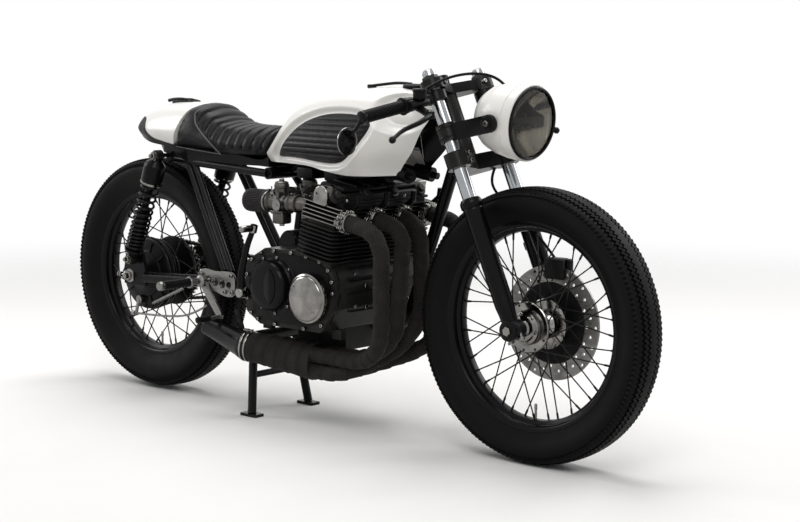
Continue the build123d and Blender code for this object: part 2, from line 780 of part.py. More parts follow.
shock_bodies = []
shock_springs = []
for side in (-1, 1):
    y = side * shock_half_spacing
    low = Vector(shock_low_x, y, shock_low_z)
    top = Vector(shock_top_x, y, shock_top_z)
    up = (top - low).normalized()
    eye_half = shock_eye_width / 2
    eyes = disc_about((low.X, low.Z), shock_eye_radius, y - eye_half, y + eye_half)
    eyes = eyes + disc_about((top.X, top.Z), shock_eye_radius, y - eye_half, y + eye_half)
    damper = rod(low + up * shock_eye_radius / 2, low + up * (top - low).length / 2, shock_body_radius)
    piston = rod(low, top, shock_rod_radius)
    cap_top = top - up * shock_eye_radius
    cap_low = cap_top - up * shock_cap_length
    cap = rod(cap_low, cap_top, shock_cap_radius)
    seat_low = low + up * (shock_eye_radius + shock_wire_radius)
    spring_seat = rod(seat_low, seat_low + up * shock_wire_radius, shock_cap_radius)
    pins = [disc_about((spot.X, spot.Z), shock_pin_radius, y - 2 * shock_eye_width, y + 2 * shock_eye_width)
            for spot in (low, top)]
    shock_bodies.append(eyes + damper + piston + cap + spring_seat - pins[0] - pins[1])
    coil_low = seat_low + up * (shock_wire_radius + joint_gap)
    coil_height = (cap_low - coil_low).length - joint_gap
    pitch = coil_height / shock_coils
    rings = None
    for turn in range(shock_coils):
        centre = coil_low + up * (pitch * (turn + 1 / 2))
        hoop = rod(centre - up * shock_wire_radius, centre + up * shock_wire_radius, shock_spring_radius)
        rings = hoop if rings is None else rings + hoop
    sleeve = rod(coil_low, coil_low + up * coil_height, shock_spring_radius - shock_wire_radius)
    bore = rod(coil_low - up * overrun, cap_low + up * overrun, shock_body_radius + joint_gap)
    shock_springs.append(rings + sleeve - bore)
keep("shock_bodies", *[trimmed(body, swingarm, spine) for body in shock_bodies])
keep("shock_springs", *shock_springs)

# Engine

tilt = math.radians(block_tilt_deg)
block_plane = Plane(origin=(crank_x, 0, crank_z), x_dir=(math.cos(tilt), 0, -math.sin(tilt)),
                    z_dir=(math.sin(tilt), 0, math.cos(tilt)))


def block_box(length, half_width, low, high, shift=0):
    """A box on the tilted cylinder axis, between two heights above the crank."""
    size = Box(length, 2 * half_width, high - low, align=(Align.CENTER, Align.CENTER, Align.MIN))
    return block_plane * Pos(shift, 0, low) * size


def block_point(along, y, up):
    return Vector(*(block_plane * Pos(along, y, up)).position)


def rounded_plate(outline, y_low, y_high, radius):
    plate = side_plate(outline, y_low, y_high)
    return fillet(plate.edges().filter_by(Axis.Y), radius)


case_length = case_front_x - case_rear_x
case_height = case_top_z - case_bottom_z
# columns: share of the length from the rear, share of the height
case_outline_shares = [(0, 0.15), (0, 0.80), (0.22, 1.0), (0.62, 1.0), (0.92, 0.90), (1.0, 0.60),
                       (0.95, 0.30), (0.83, 0), (0.16, 0)]
case_outline = [(case_rear_x + along * case_length, case_bottom_z + up * case_height)
                for along, up in case_outline_shares]
cases = rounded_plate(case_outline, -case_half_width, case_half_width, case_fillet)
cases = cases + box_between((sump_rear_x, sump_right_y, sump_bottom_z),
                            (sump_front_x, sump_left_y, case_bottom_z + overrun))
for lug_x in (case_rear_x + case_fillet, case_front_x - 4 * case_fillet):
    for side in (-1, 1):
        y = side * cradle_half_width
        cases = cases + box_between((lug_x, y - tube_radius / 2, rail_z),
                                    (lug_x + 2 * tube_radius, y + tube_radius / 2, case_bottom_z + overrun))
chain_room = disc_about((output_x, output_z), front_sprocket_radius + 3 * chain_height,
                        chain_y - 2 * chain_width, case_half_width + overrun)
cases = cases - chain_room - frame_cradles
engine_cases = keep("engine_cases", cases)
clutch = disc_about((clutch_x, clutch_z), clutch_radius, -case_half_width - clutch_reach, -case_half_width)
keep("clutch_cover", clutch)
points = disc_about((crank_x, crank_z), points_radius, -case_half_width - points_reach, -case_half_width)
keep("points_cover", points)
keep("alternator_cover", disc_about((crank_x, crank_z), alternator_radius, case_half_width,
                                    case_half_width + alternator_reach))
cover_side = [(output_x + along * cover_reach_x, output_z + up * cover_reach_z)
              for along, up in ((-1, -1), (1, -1), (1, 1), (-1, 1))]
sprocket_cover = rounded_plate(cover_side, chain_y + chain_width, case_half_width, case_fillet)
sprocket_cover = sprocket_cover - engine_cases
keep("sprocket_cover", trimmed(sprocket_cover, frame_cradles, swingarm))

block_top = block_foot + block_height
core_length = block_length - 2 * fin_depth
block = block_box(core_length, block_half_width - fin_depth, block_foot - case_fillet, block_top)
for index in range(fin_count):
    low = block_foot + (index + 1) * block_height / (fin_count + 1)
    block = block + block_box(block_length, block_half_width, low, low + fin_thickness)
block = block - engine_cases
cylinder_block = keep("cylinder_block", block)
head_top = block_top + head_height
head = block_box(head_length - 2 * fin_depth, head_half_width - fin_depth, block_top, head_top)
for index in range(head_fin_count):
    low = block_top + (index + 1 / 2) * head_height / head_fin_count
    head = head + block_box(head_length, head_half_width, low, low + fin_thickness)
cam_cover = block_box(cover_length, head_half_width - 2 * fin_depth, head_top, head_top + cover_height)
cam_cover = fillet(cam_cover.edges().filter_by(Axis.Y), case_fillet / 2)
cylinder_head = keep("cylinder_head", head + cam_cover)

cam_end = head_half_width - 2 * fin_depth
cam_up = head_top + cover_height / 2
cam_caps = [rod(block_point(0, side * cam_end, cam_up), block_point(0, side * (cam_end + cam_cap_reach), cam_up),
                cam_cap_radius) - cylinder_head for side in (-1, 1)]
keep("cam_caps", *cam_caps)

port_up = block_top + head_height / 3
bore_rows = [(share * bore_pitch) for share in (-1.5, -0.5, 0.5, 1.5)]
port_face = head_length / 2 - fin_depth
clamps = []
carbs = []
pods = []
for y in bore_rows:
    face = block_point(port_face, y, port_up)
    mouth = block_point(port_face + fin_depth + port_clamp_thickness, y, port_up)
    ring = rod(face, mouth, port_clamp_radius)
    clamps.append(ring)
    carb_front = Vector(carb_front_x, y, intake_z)
    carb_rear = carb_front - Vector(carb_length, 0, 0)
    manifold = rod(carb_front + Vector(head_length / 2, 0, 0), carb_front, carb_radius - overrun)
    throat = rod(carb_front, carb_rear, carb_radius)
    middle = (carb_front + carb_rear) / 2
    bowl = box_between((middle.X - carb_bowl_width / 2, y - carb_bowl_width / 2, intake_z - carb_bowl_height),
                       (middle.X + carb_bowl_width / 2, y + carb_bowl_width / 2, intake_z))
    dome = rod(middle, middle + Vector(0, 0, carb_bowl_height), carb_radius)
    carbs.append(trimmed(manifold + throat + bowl + dome, cylinder_head, cylinder_block))
    pod_end = carb_rear - Vector(pod_length, 0, 0)
    pods.append(trimmed(rod(carb_rear, pod_end, pod_radius), frame_cradles, spine))
keep("carburettors", *carbs)
keep("pod_filters", *pods)
filter_front = case_front_x + oil_filter_length
oil_filter = rod((case_front_x - 2 * case_fillet, 0, oil_filter_z), (filter_front, 0, oil_filter_z),
                 oil_filter_radius)
oil_filter = keep("oil_filter", trimmed(oil_filter, engine_cases))

# Exhaust

collector_front = Vector(collector_x, collector_y, collector_z)
# columns: bore row, then two bends as shares of the front reach, bore pitch and port height,
# then the x share where the pipe joins the collector's line, and its place in the bundle
header_route_shares = [
    (0, (1.0, -1.56, 0.965), (0.96, -1.44, 0.46), 0.70, (-0.5, 0.5)),
    (1, (0.87, -0.31, 0.965), (0.88, -0.62, 0.47), 0.62, (0.5, 0.5)),
    (2, (0.87, 0.31, 0.965), (0.88, 0.34, 0.46), 0.50, (-0.5, -0.5)),
    (3, (1.0, 1.56, 0.965), (0.97, 1.10, 0.43), 0.42, (0.5, -0.5)),
]
headers = []
for row, high_bend, low_bend, join, place in header_route_shares:
    y = bore_rows[row]
    start = block_point(port_face + port_gap, y, port_up)
    end = collector_front + Vector(0, place[0] * pipe_pitch, place[1] * pipe_pitch)
    bends = [(x * header_front_x, across * bore_pitch, up * port_z) for x, across, up in (high_bend, low_bend)]
    route = [start] + bends + [(join * header_front_x, end.Y, end.Z), end]
    headers.append(bent_tube(route, header_radius))
collector_rear = Vector(collector_rear_x, collector_rear_y, collector_rear_z)
halfway = (collector_front + collector_rear) / 2
collector_mid = Vector(collector_mid_x, halfway.Y, halfway.Z)
mouth = rod(collector_front, collector_mid, collector_mouth_radius, collector_radius)
tail_pipe = rod(collector_mid, collector_rear, collector_radius)
tail_pipe = tail_pipe + Pos(*collector_mid) * Sphere(collector_radius)
collector = keep("exhaust_collector", mouth + tail_pipe)
tail_run = collector_rear - collector_mid
bands = []
for share in band_place_shares:
    band_start = collector_mid + tail_run * share
    bands.append(rod(band_start, band_start + tail_run.normalized() * band_width, band_radius) - collector)
keep("exhaust_bands", *bands)
headers = [trimmed(pipe, cylinder_head, collector) for pipe in headers]
keep("exhaust_headers", *headers)
keep("header_clamps", *[trimmed(clamp, pipe, cylinder_head, cylinder_block)
                        for clamp, pipe in zip(clamps, headers)])
silencer_tip = Vector(silencer_tip_x, silencer_tip_y, silencer_tip_z)
silencer = rod(collector_rear, silencer_tip, silencer_radius, silencer_tip_radius)
hollow = rod(collector_rear + (silencer_tip - collector_rear) / 2, silencer_tip, silencer_tip_radius - overrun)
silencer = keep("silencer", trimmed(silencer - hollow, collector))

# Bodywork


def body_section(x, low_half, half, shoulder_half, low_z, shoulder_z, ridge_z):
    """A cross-section: flat floor, bulged sides and a crowned top."""
    waist_z = low_z + (shoulder_z - low_z) * waist_share
    outline = Line((x, -low_half, low_z), (x, low_half, low_z)) + \
        ThreePointArc((x, low_half, low_z), (x, half, waist_z), (x, shoulder_half, shoulder_z)) + \
        ThreePointArc((x, shoulder_half, shoulder_z), (x, 0, ridge_z), (x, -shoulder_half, shoulder_z)) + \
        ThreePointArc((x, -shoulder_half, shoulder_z), (x, -half, waist_z), (x, -low_half, low_z))
    return make_face(outline)


def tank_body(inset):
    length = tank_front_x - tank_rear_x
    # columns: shares along, low half width, half width, shoulder half width, shoulder height, ridge height
    section_shares = [(0, 0.44, 0.54, 0.40, 0.22, 0.37), (0.12, 0.61, 0.71, 0.58, 0.46, 0.66),
                      (0.30, 0.73, 0.86, 0.70, 0.70, 0.86), (0.55, 0.82, 0.97, 0.77, 0.80, 0.985),
                      (0.75, 0.84, 0.98, 0.74, 0.79, 1.0), (1.0, 0.46, 0.56, 0.44, 0.74, 0.91)]
    wide = tank_half_width
    faces = [body_section(tank_rear_x + along * length, low * wide - inset, half * wide - inset,
                          shoulder * wide - inset, tank_bottom_z, tank_bottom_z + up * tank_height,
                          tank_bottom_z + ridge * tank_height - inset / 2)
             for along, low, half, shoulder, up, ridge in section_shares]
    return loft(faces)


tank_whole = tank_body(0)
nose_cut = side_plate([(tank_nose_x, tank_bottom_z - overrun), (tank_front_x + overrun, tank_nose_z),
                       (tank_front_x + 4 * tube_radius, tank_nose_z), (tank_front_x + 4 * tube_radius,
                       tank_bottom_z - overrun)], -2 * tank_half_width, 2 * tank_half_width)
yoke_room = stem_boss_radius + running_gap + joint_gap
front_low = axis_point(0) - axis_forward * yoke_room
front_high = axis_point(2 * fork_top_run) - axis_forward * yoke_room
steering_cut = side_plate([(front_low.X, front_low.Z), (front_high.X, front_high.Z),
                           (front_low.X, front_high.Z)], -2 * tank_half_width, 2 * tank_half_width)
tunnel_rise = backbone_radius + tunnel_clearance
tunnel = side_plate([(tank_rear_x - overrun, tank_bottom_z - tank_height / 2),
                     (backbone_front.X + tunnel_rise, tank_bottom_z - tank_height / 2),
                     (backbone_front.X + tunnel_rise, backbone_front.Z + 3 * tunnel_rise / 2),
                     (backbone_rear.X, backbone_rear.Z + tunnel_rise), (tank_rear_x - overrun, backbone_rear.Z +
                     tunnel_rise)], -tunnel_half_width, tunnel_half_width)
panel_outline_shares = [(0.075, 0.10), (0.13, 0.34), (0.21, 0.55), (0.33, 0.66), (0.45, 0.70), (0.66, 0.66),
                        (0.77, 0.58), (0.77, 0.40), (0.71, 0.20), (0.61, 0.06), (0.45, 0.05), (0.15, 0.06)]
tank_length = tank_front_x - tank_rear_x
panel_outline = [(tank_rear_x + along * tank_length, tank_bottom_z + up * tank_height)
                 for along, up in panel_outline_shares]
tank_core = tank_body(panel_depth)
tank_skin = tank_body(panel_recess)
panels = []
recesses = []
for side in (-1, 1):
    reach = side * 2 * tank_half_width
    start = side * tunnel_half_width
    prism = side_plate(panel_outline, min(start, reach), max(start, reach))
    panels.append(trimmed(prism & tank_skin, tank_core))
    recesses.append(prism - tank_core)
tank = tank_whole - nose_cut - steering_cut - tunnel - recesses[0] - recesses[1]
tank = keep("tank", trimmed(tank))
keep("knee_panels", *panels)

tail_end_x = tank_rear_x - joint_gap
saddle_length = tail_end_x - tail_rear_x
# columns: shares along, low half width, half width, shoulder half width, and floor, shoulder and ridge heights
saddle_shares = [(0, 0.16, 0.26, 0.16, 0.42, 0.56, 0.61), (0.06, 0.46, 0.58, 0.41, 0.31, 0.66, 0.75),
                 (0.155, 0.71, 0.84, 0.61, 0.20, 0.75, 0.93), (0.315, 0.83, 0.96, 0.71, 0.12, 0.80, 1.01),
                 (0.50, 0.87, 0.99, 0.74, 0.07, 0.79, 1.0), (0.60, 0.87, 0.98, 0.73, 0.04, 0.60, 0.76),
                 (0.68, 0.86, 0.96, 0.71, 0.03, 0.50, 0.62), (0.80, 0.82, 0.92, 0.67, 0.02, 0.45, 0.56),
                 (1.0, 0.61, 0.71, 0.52, 0, 0.42, 0.55)]
saddle_faces = [body_section(tail_rear_x + along * saddle_length, low * seat_half_width, half * seat_half_width,
                             shoulder * seat_half_width, seat_bottom_z + floor * seat_height,
                             seat_bottom_z + up * seat_height, seat_bottom_z + ridge * seat_height)
                for along, low, half, shoulder, floor, up, ridge in saddle_shares]
saddle = loft(saddle_faces)
far = 2 * seat_half_width
above = seat_bottom_z + 2 * seat_height
rear_side = side_plate([(tail_rear_x - overrun, seat_bottom_z - overrun),
                        (seat_split_low_x, seat_bottom_z - overrun), (seat_split_top_x, above),
                        (tail_rear_x - overrun, above)], -far, far)
tail_cowl = keep("tail_cowl", saddle & rear_side)
seat_body = trimmed(saddle, rear_side)
seat = keep("seat", trimmed(seat_body, Pos(-joint_gap, 0, 0) * tail_cowl, spine))
tray_end_x = tail_rear_x + seat_half_width / 2
tray_end_z = seat_bottom_z + seat_height / 2
tray_outline = [(tray_end_x, tray_end_z), (seat_rail_rear_x, tray_low_z), (strut_top_x, tray_front_z),
                (tail_end_x, tray_front_z), (tail_end_x, seat_bottom_z + overrun),
                (strut_top_x, seat_bottom_z + seat_height / 3), (tray_end_x, tray_end_z + overrun)]
tray = side_plate(tray_outline, -tray_half_width, tray_half_width)
plan = make_face(Polyline((tail_end_x, tray_half_width * 3 / 4), (strut_top_x, tray_half_width),
                          (seat_rail_rear_x, tray_half_width * 7 / 8), (tail_rear_x + seat_half_width / 2,
                          tray_half_width / 3), (tail_rear_x + seat_half_width / 2, -tray_half_width / 3),
                          (seat_rail_rear_x, -tray_half_width * 7 / 8), (strut_top_x, -tray_half_width),
                          (tail_end_x, -tray_half_width * 3 / 4), close=True))
tray = tray & extrude(Pos(0, 0, rail_z) * plan, amount=tail_rise)
seat_base = keep("seat_base", trimmed(tray, seat, tail_cowl, spine, rear_struts, frame_cradles))

cap_disc = rod((cap_x, 0, tank_bottom_z + tank_height - cap_height), (cap_x, 0, tank_bottom_z + tank_height +
               cap_height), cap_width / 2)
cap_lever = box_between((cap_x - cap_length, -cap_height / 2, tank_bottom_z + tank_height + overrun),
                        (cap_x, cap_height / 2, tank_bottom_z + tank_height + cap_height))
keep("filler_cap", trimmed(cap_disc + cap_lever, tank))
latch_low = seat_bottom_z + seat_height
latch_foot = rod((latch_x, 0, latch_low - 2 * cap_height), (latch_x, 0, latch_low + cap_height), cap_height)
latch_bar = box_between((latch_x - latch_length / 2, -cap_height / 2, latch_low + overrun),
                        (latch_x + latch_length / 2, cap_height / 2, latch_low + cap_height))
keep("tail_latch", trimmed(latch_foot + latch_bar, tail_cowl))

# Chain and rear brake

chain_plane = Plane(origin=(0, chain_y + chain_width / 2, 0), x_dir=(1, 0, 0), z_dir=(0, -1, 0))


def chain_outline(grow):
    circles = Pos(output_x, output_z) * Circle(front_sprocket_radius + grow) + \
        Pos(rear_axle_x, rear_axle_z) * Circle(rear_sprocket_radius + grow)
    return make_hull(circles.edges())


chain_face = chain_outline(chain_height / 2) - chain_outline(-chain_height / 2)
chain_band = chain_plane * extrude(chain_face, amount=chain_width)
output_sprocket = disc_about((output_x, output_z), front_sprocket_radius - chain_height / 2,
                             chain_y - 2 * chain_width, chain_y + chain_width / 2)
drive_chain = keep("drive_chain", trimmed(chain_band + output_sprocket, engine_cases))

panel_y = -rear_hub_half_width - joint_gap
brake_plate = disc_about((rear_axle_x, rear_axle_z), drum_radius, panel_y - brake_plate_thickness, panel_y)
brake_boss = disc_about((rear_axle_x, rear_axle_z), hub_core_radius, -swingarm_half_width +
                        swingarm_plate_thickness / 2, panel_y - brake_plate_thickness)
brake_lever = side_plate([(rear_axle_x - 4 * axle_radius, rear_axle_z - drum_radius / 2),
                          (rear_axle_x - 2 * axle_radius, rear_axle_z - drum_radius / 2),
                          (rear_axle_x - 3 * axle_radius, rear_axle_z - drum_radius - 4 * axle_radius),
                          (rear_axle_x - 5 * axle_radius, rear_axle_z - drum_radius - 4 * axle_radius)],
                         panel_y - 2 * brake_plate_thickness, panel_y - brake_plate_thickness)
keep("rear_brake_panel", trimmed(brake_plate + brake_boss + brake_lever, swingarm))

# Foot controls

rests = []
controls = []
for side in (-1, 1):
    y_near = min(side * rearset_y, side * (rearset_y + rearset_thickness))
    y_far = max(side * rearset_y, side * (rearset_y + rearset_thickness))
    outline = [(peg_x - 2 * peg_radius, peg_z - peg_radius), (peg_x - 2 * peg_radius, peg_z + 3 * peg_radius),
               (upright_bend_x + 4 * peg_radius, peg_z + 3 * peg_radius),
               (upright_bend_x + 3 * peg_radius, upright_bend_z), (upright_bend_x, upright_bend_z)]
    plate = side_plate(outline, y_near, y_far)
    lower_bolt = (upright_bend_x + strut_radius, upright_bend_z + 2 * strut_radius)
    for spot in (lower_bolt, (strut_low_x, strut_low_z)):
        plate = plate + disc_about(spot, strut_radius, min(side * cradle_half_width, y_far),
                                   max(side * cradle_half_width, y_near))
    root_end = side * peg_root_y
    peg = disc_about((peg_x, peg_z), peg_root_radius, min(y_near, root_end), max(y_far, root_end))
    peg = peg + disc_about((peg_x, peg_z), peg_radius, min(root_end, side * peg_outer_y),
                           max(root_end, side * peg_outer_y))
    rests.append(trimmed(plate + peg, frame_cradles, rear_struts, swingarm))
    lever_near = side * (rearset_y + rearset_thickness + joint_gap)
    lever_far = lever_near + side * pedal_thickness
    arm_low_y = min(lever_near, lever_far)
    arm_high_y = max(lever_near, lever_far)
    eye = disc_about((peg_x, peg_z), peg_radius + overrun, arm_low_y, arm_high_y)
    toe = disc_about((pedal_toe_x, pedal_toe_z), pedal_thickness, min(lever_near, side * pedal_toe_y),
                     max(lever_near, side * pedal_toe_y))
    arm = side_plate([(peg_x - peg_radius, peg_z), (peg_x + peg_radius, peg_z),
                      (pedal_toe_x + pedal_thickness, pedal_toe_z),
                      (pedal_toe_x - pedal_thickness, pedal_toe_z)], arm_low_y, arm_high_y)
    controls.append(trimmed(eye + toe + arm, rests[-1]))
keep("footrests", *rests)
keep("brake_pedal", controls[0])
keep("gear_lever", controls[1])

kick_y = -case_half_width
kick_shaft = disc_about((kick_x, kick_z), kick_shaft_radius, kick_y - kick_reach, kick_y)
kick_arm = rod((kick_x, kick_y - kick_reach, kick_z), (kick_top_x, kick_y - kick_reach, kick_top_z),
               kick_shaft_radius)
kick_pedal = rod((kick_top_x, kick_y - kick_reach - kick_pedal_length, kick_top_z),
                 (kick_top_x, kick_y - kick_reach + kick_shaft_radius, kick_top_z), kick_shaft_radius)
kick_elbow = Pos(kick_x, kick_y - kick_reach, kick_z) * Sphere(kick_shaft_radius + overrun)
kick_knob = Pos(kick_top_x, kick_y - kick_reach, kick_top_z) * Sphere(kick_shaft_radius + overrun)
keep("kick_starter", kick_shaft + kick_elbow + kick_arm + kick_knob + kick_pedal)

# Centre stand

stand_tube_half = stand_half_width + stand_radius
stand_tube = disc_about((stand_pivot_x, stand_pivot_z), stand_radius + overrun, -stand_tube_half,
                        stand_tube_half)
stand = stand_tube
for side in (-1, 1):
    hip = (stand_pivot_x, side * stand_half_width, stand_pivot_z)
    foot = (stand_foot_x, side * stand_foot_half_width, stand_pad_thickness)
    stand = stand + rod(hip, foot, stand_radius)
    stand = stand + box_between((stand_foot_x - stand_pad_length / 2, side * stand_foot_half_width - 2 *
                                 stand_pad_thickness, 0), (stand_foot_x + stand_pad_length / 2,
                                side * stand_foot_half_width + 2 * stand_pad_thickness, stand_pad_thickness))
brace_z = (stand_pivot_z + stand_pad_thickness) / 2
brace_x = (stand_pivot_x + stand_foot_x) / 2
brace_y = (stand_half_width + stand_foot_half_width) / 2
stand = stand + rod((brace_x, -brace_y, brace_z), (brace_x, brace_y, brace_z), stand_radius * 3 / 4)
floor_cut = box_between((stand_foot_x - stand_pad_length, -2 * stand_foot_half_width, -stand_pad_length),
                        (stand_foot_x + stand_pad_length, 2 * stand_foot_half_width, 0))
pin_bore = disc_about((stand_pivot_x, stand_pivot_z), stand_pin_radius + axle_clearance, -stand_foot_half_width,
                      stand_foot_half_width)
keep("centre_stand", stand - floor_cut - pin_bore)
keep("stand_pin", stand_pin)

os.makedirs("parts", exist_ok=True)
for name, solids in solids_of.items():
    export_step(Compound(children=solids), f"parts/{name}.step")
    print(name, len(solids))
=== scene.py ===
# Cafe racer motorcycle: its finishes, soft parts and fine pieces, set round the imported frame.
# The bike points along +X, its left side is +Y, and the floor is at Z 0. Lengths are in metres.

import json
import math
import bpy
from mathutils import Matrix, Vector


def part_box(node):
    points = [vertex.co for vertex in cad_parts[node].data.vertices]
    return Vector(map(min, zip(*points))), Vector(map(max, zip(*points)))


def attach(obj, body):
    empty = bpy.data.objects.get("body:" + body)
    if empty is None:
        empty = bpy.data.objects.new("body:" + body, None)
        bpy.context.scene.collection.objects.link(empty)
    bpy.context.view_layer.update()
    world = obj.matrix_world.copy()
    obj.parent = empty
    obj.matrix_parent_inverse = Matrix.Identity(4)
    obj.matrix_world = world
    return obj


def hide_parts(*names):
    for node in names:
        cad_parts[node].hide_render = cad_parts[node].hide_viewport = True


bl_info = {"name": "Cafe racer motorcycle", "version": (1, 0, 0), "blender": (4, 5, 0),
           "location": "3D View > Sidebar > Motorcycle",
           "description": "Dresses a cafe racer's frame with its finishes, padded seat and small pieces",
           "category": "Add Mesh",}

import bpy
import numpy as np
from bpy.props import FloatProperty, FloatVectorProperty, IntProperty, PointerProperty
from bpy.types import Operator, Panel, PropertyGroup
from mathutils import Matrix, Vector

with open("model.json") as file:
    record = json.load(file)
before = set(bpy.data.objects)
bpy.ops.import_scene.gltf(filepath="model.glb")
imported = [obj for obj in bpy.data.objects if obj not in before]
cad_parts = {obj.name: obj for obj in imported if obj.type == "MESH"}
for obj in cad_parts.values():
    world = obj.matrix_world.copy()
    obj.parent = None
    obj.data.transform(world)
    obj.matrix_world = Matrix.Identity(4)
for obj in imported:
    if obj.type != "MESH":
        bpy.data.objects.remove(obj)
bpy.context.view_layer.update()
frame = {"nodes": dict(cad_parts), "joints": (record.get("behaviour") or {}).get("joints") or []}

MM = 0.001
X = Vector((1, 0, 0))
Y = Vector((0, 1, 0))
Z = Vector((0, 0, 1))
NEAR = 0.01 * MM


def mm(x, y, z):
    """A vector given in millimetres."""
    return Vector((x, y, z)) * MM


def middle(node):
    """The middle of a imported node's box."""
    low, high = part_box(node)
    return (low + high) / 2


# Places shared by several pieces, taken from the frame
front_axle = middle("front_tyre")
rear_axle = middle("rear_tyre")
crank = middle("points_cover")
clutch_centre = middle("clutch_cover")
steering = next(joint for joint in frame["joints"] if joint["name"] == "steering_turn")
fork_up = Vector(steering["axis"])
fork_forward = Vector((fork_up.z, 0, -fork_up.x))
fork_offset = 50 * MM
fork_half_spacing = 95 * MM
STEM_TOP = 646 * MM
case_side = -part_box("engine_cases")[0].y
made_materials = {}


def fork_point(run, y=0.0):
    """A point on the fork's line, by its distance up from the front axle."""
    return front_axle + fork_up * run + Y * y


def axis_point(run, y=0.0):
    """The point of the steering axis level with that point of the fork."""
    return fork_point(run, y) - fork_forward * fork_offset


# Colours and shader nodes

# Pointiness at which an edge starts to lighten and at which it is lightest: worn paint, and also a painted
# highlight along the edge
EDGE_WEAR_AND_HIGHLIGHT = (0.54, 0.66)
# Noise values at which a surface is glossiest and dullest
DRIFT_RANGE = (0.3, 0.7)


def linear(hex_colour):
    """An sRGB hex value as linear red, green, blue and alpha."""
    shares = [int(hex_colour[at:at + 2], 16) / 255 for at in (1, 3, 5)]
    return (*[s / 12.92 if s <= 0.04045 else ((s + 0.055) / 1.055) ** 2.4 for s in shares], 1.0)


def add_node(tree, kind, inputs=None, **settings):
    """Adds one shader node, sets it up, and links or fills its inputs."""
    made = tree.nodes.new(kind)
    for name, value in settings.items():
        setattr(made, name, value)
    for key, value in (inputs or {}).items():
        if isinstance(value, bpy.types.NodeSocket):
            tree.links.new(value, made.inputs[key])
        else:
            made.inputs[key].default_value = value
    return made


def surfaced(name, colour, second, roughness, grain, bump, patch=60 * MM, spread=0.07, edge_wear_and_highlight=None,
             stretch=(1, 1, 1), **sockets):
    """A finish with a grain and with patches of drifting colour and gloss; a given edge colour lightens its
    edges, as worn paint and as a painted edge highlight.
    """
    made = bpy.data.materials.new(name)
    made.use_nodes = True
    tree = made.node_tree
    shader = tree.nodes["Principled BSDF"]
    coords = add_node(tree, "ShaderNodeTexCoord")
    place = add_node(tree, "ShaderNodeMapping", {"Vector": coords.outputs["Object"], "Scale": stretch})
    drift = add_node(tree, "ShaderNodeTexNoise",
                     {"Vector": place.outputs[0], "Scale": 1 / patch, "Detail": 4.0})
    fine = add_node(tree, "ShaderNodeTexNoise", {"Vector": place.outputs[0], "Scale": 1 / grain,
                                                 "Detail": 3.0})
    tint = add_node(tree, "ShaderNodeMix", {0: drift.outputs[0], 6: linear(colour), 7: linear(second)},
                    data_type="RGBA")
    paint = tint.outputs[2]
    # Edges lightened by pointiness: worn paint, and also a painted highlight along the edges
    if edge_wear_and_highlight:
        shape = add_node(tree, "ShaderNodeNewGeometry")
        edge = add_node(tree, "ShaderNodeMapRange",
                        {"Value": shape.outputs["Pointiness"], "From Min": EDGE_WEAR_AND_HIGHLIGHT[0],
                         "From Max": EDGE_WEAR_AND_HIGHLIGHT[1]})
        patchy = add_node(tree, "ShaderNodeMath", {0: edge.outputs[0], 1: drift.outputs[0]},
                          operation="MULTIPLY")
        paint = add_node(tree, "ShaderNodeMix", {0: patchy.outputs[0], 6: paint, 7: linear(edge_wear_and_highlight)},
                         data_type="RGBA").outputs[2]
    gloss = add_node(tree, "ShaderNodeMapRange", {"Value": drift.outputs[0], "From Min": DRIFT_RANGE[0],
                                                  "From Max": DRIFT_RANGE[1], "To Min": roughness - spread,
                                                  "To Max": roughness + spread})
    relief = add_node(tree, "ShaderNodeBump", {"Height": fine.outputs[0], "Distance": bump})
    tree.links.new(paint, shader.inputs["Base Color"])
    tree.links.new(gloss.outputs[0], shader.inputs["Roughness"])
    tree.links.new(relief.outputs[0], shader.inputs["Normal"])
    for socket, value in sockets.items():
        shader.inputs[socket.replace("_", " ")].default_value = value
    made_materials[name] = made
    return made


def white_enamel():
    """Two-pack enamel over steel, flatted and sealed: an even white with a soft, slightly wavy shine."""
    surfaced("white_enamel", "#e9e7e2", "#dedbd4", 0.3, 4 * MM, 0.05 * MM, patch=220 * MM, spread=0.05,
             Coat_Weight=0.25, Coat_Roughness=0.16)


def satin_powder_coat():
    """Powder coat on tube and plate: a fine even orange peel. Its grain is drawn coarse enough to show. Its
    lighter edges are worn coat and also a painted edge highlight.
    """
    surfaced("satin_powder_coat", "#080809", "#0e0e0f", 0.25, 1.2 * MM, 0.03 * MM, edge_wear_and_highlight="#33312f",
             Specular_IOR_Level=0.1)


def cast_engine_paint():
    """Heat-cured black paint on sand-cast aluminium: pebbled, half matt, rubbed thin on its corners; the
    lighter corners are also a painted edge highlight.
    """
    surfaced("cast_engine_paint", "#0a0a0b", "#111112", 0.32, 1.6 * MM, 0.1 * MM, edge_wear_and_highlight="#4a4845",
             Specular_IOR_Level=0.08)


def polished_aluminium():
    """Buffed cast aluminium: nearly a mirror, a little cloudy, its fine swirls drawn coarse to show. Its
    colour is darkened and drifts into dark patches: painted reflection of dark surroundings.
    """
    surfaced("polished_aluminium", "#a6a4a0", "#403e3b", 0.13, 3 * MM, 0.012 * MM, patch=34 * MM,
             spread=0.05, Metallic=1.0)


def hard_chrome():
    """Ground and hard-chromed fork tube: a cool clean mirror, its colour darkened as a painted reflection
    of dark surroundings.
    """
    surfaced("hard_chrome", "#a8aaad", "#8b8e91", 0.08, 2 * MM, 0.004 * MM, spread=0.02, Metallic=1.0)


def bare_aluminium():
    """Machined aluminium with a satin, handled surface: brushed one way and dulled in patches."""
    surfaced("bare_aluminium", "#8b8a87", "#646361", 0.33, 1.5 * MM, 0.03 * MM, patch=25 * MM, spread=0.1,
             stretch=(1, 1, 4), Metallic=1.0)


